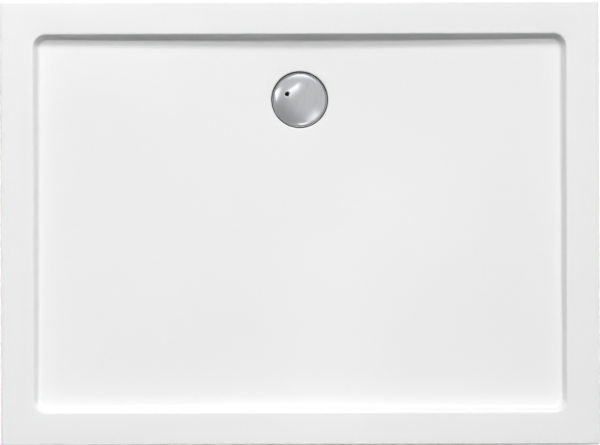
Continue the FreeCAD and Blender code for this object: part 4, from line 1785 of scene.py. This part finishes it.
@dataclass(frozen=True)
class Card:
    """A level card over the waste that shows in reflections alone, and gives the chrome its tones.

    Its fades are the stretches at its left, right, front and back over which its glow dies out.
    """

    name: str
    place: Pair
    half: Pair
    strength: float
    angle: float = 0.0
    lift: float = 2.0
    fade: Fades = (0.0, 0.0, 0.0, 0.0)

    def hang(self, over: np.ndarray) -> None:
        """Adds the card.

        Args:
            over: The x and y that its place is measured from.
        """
        a, b = self.half
        mesh = bpy.data.meshes.new(self.name)
        mesh.from_pydata([(-a, -b, 0), (a, -b, 0), (a, b, 0), (-a, b, 0)], [], [(3, 2, 1, 0)])
        mesh.materials.append(CardGlow(self.name, self.strength, self.half, self.fade).material())
        card = bpy.data.objects.new(self.name, mesh)
        bpy.context.scene.collection.objects.link(card)
        card.location = (over[0] + self.place[0], over[1] + self.place[1], self.lift)
        card.rotation_euler[2] = math.radians(self.angle)
        card.visible_camera = False
        card.visible_diffuse = False
        card.visible_transmission = False
        card.visible_shadow = False


@dataclass
class Studio:
    """Floor, background, lamps, cards and the camera straight above the tray."""

    form: TrayForm
    camera_height: float = 9.0
    camera_aside: Pair = (0.0, 1.2 * MM)
    sensor: float = 36.0
    tray_pixels: float = 599.2
    roll: float = -0.15
    floor_half: float = 24.0
    world_seen: float = 1.0
    world_light: float = 0.03
    side_light: float = 1.7
    lamps: tuple[Lamp, ...] = (
        Lamp("key", (1.0, 9.0, 10.7), (5.0, 2.6), 900.0, glossy=True),
        Lamp("overhead", (0.15, 2.65, 6.9), (3.0, 0.8), 65.0, False, (-0.55, -0.45, 0.12), 85.0),
    )
    cards: tuple[Card, ...] = (
        Card("card_far", (0.0, 0.0), (8.0, 8.0), 0.34, lift=2.2),
        Card("card_grey", (0.0, 0.0), (1.3, 1.3), 0.76, lift=2.1),
        Card("card_dark", (-0.533, -0.473), (0.55, 0.75), 0.45, -45.0, 2.08, (0.3, 0.3, 0.0, 0.24)),
        Card("card_back", (0.04, 0.68), (0.28, 0.42), 1.45, 0.0, 2.07, (0.12, 0.12, 0.05, 0.0)),
        Card(
            "card_streak", (-0.032, 0.152), (0.11, 0.045), 1.65, 36.0, 2.06, (0.02, 0.1, 0.085, 0.0)
        ),
        Card(
            "card_left", (-0.59, 0.24), (0.42, 0.1), 1.75, -20.0, 2.05, (0.0, 0.035, 0.05, 0.05)
        ),
        Card(
            "card_right", (0.195, -0.17), (0.15, 0.12), 1.25, -42.0, 2.04, (0.08, 0.0, 0.09, 0.09)
        ),
        Card("card_front", (0.07, -0.48), (0.12, 0.3), 1.5, 0.0, 2.03, (0.06, 0.06, 0.0, 0.03)),
    )

    def floor(self) -> None:
        """A large level floor, which keeps to the lowest foot when feet are screwed in or out."""
        step = np.linspace(-self.floor_half, self.floor_half, 9)
        plan = np.stack(np.meshgrid(step, step), axis=-1)
        surface = woven(level(plan, 0.0), round_columns=False)
        mesh = bpy.data.meshes.new("floor")
        mesh.from_pydata(surface.points.tolist(), [], surface.faces.tolist())
        mesh.materials.append(StudioFloor("studio_floor").material())
        floor = bpy.data.objects.new("floor", mesh)
        bpy.context.scene.collection.objects.link(floor)
        lowest = floor.driver_add("location", 2).driver
        lowest.type = "MIN"
        for name in LEGS:
            variable = lowest.variables.new()
            variable.type = "TRANSFORMS"
            variable.targets[0].id = frame["bodies"][f"foot_{name}"]
            variable.targets[0].transform_type = "LOC_Z"

    def world(self) -> None:
        """White surroundings, dimmer to matt surfaces than to the camera and in reflections.

        What lights matt surfaces from direction (x, y, z) is the even light, and in the half where
        y is above 0 also the side light times x^4: the far left and the far right shine most.
        """
        world = bpy.data.worlds.new("studio")
        bpy.context.scene.world = world
        g = Graph(world)
        x, y, _ = g.add("ShaderNodeSeparateXYZ", {"Vector": g.places["Generated"]}).outputs
        to_sides = g.maths("POWER", g.maths("MULTIPLY", x, x), 2.0)
        behind = g.maths("MULTIPLY", to_sides, g.maths("GREATER_THAN", y, 0.0))
        matt = g.maths("ADD", g.maths("MULTIPLY", behind, self.side_light), self.world_light)
        background = g.tree.nodes["Background"].inputs
        g.feed(background["Color"], (1.0, 1.0, 1.0))
        limits = {"Value": g.straight_rays(), "To Min": matt, "To Max": self.world_seen}
        g.feed(background["Strength"], g.add("ShaderNodeMapRange", limits).outputs["Result"])

    def camera(self) -> None:
        """A long lens straight above the tray, with +Y at the top of the picture."""
        data = bpy.data.cameras.new("camera")
        data.sensor_width = self.sensor
        above_rim = self.camera_height - self.form.top
        seen_width = self.form.length * PHOTO_WIDTH / self.tray_pixels
        data.lens = self.sensor * above_rim / seen_width
        data.clip_end = 60.0
        camera = bpy.data.objects.new("camera", data)
        bpy.context.scene.collection.objects.link(camera)
        camera.location = (*self.camera_aside, self.camera_height)
        camera.rotation_euler[2] = math.radians(self.roll)
        bpy.context.scene.camera = camera

    def build(self) -> None:
        """Sets up the studio."""
        bpy.context.scene.view_settings.view_transform = "Standard"
        self.floor()
        self.world()
        self.camera()
        for lamp in self.lamps:
            lamp.hang()
        for card in self.cards:
            card.hang(self.form.waste)


def corners(box: tuple[Vector, Vector]) -> list[list[float]]:
    """A box's corners as plain lists."""
    return [[float(value) for value in corner] for corner in box]


def main() -> None:
    """Builds the tray, its feet, its waste and the studio."""
    logging.basicConfig(level=logging.INFO, format="%(message)s")
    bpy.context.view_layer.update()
    form = TrayForm()
    Tray(form).build()
    for name in LEGS:
        Leg(name).build()
    Waste(form).build()
    Cover(form).build()
    Studio(form).build()


if __name__ == "__main__":
    main()
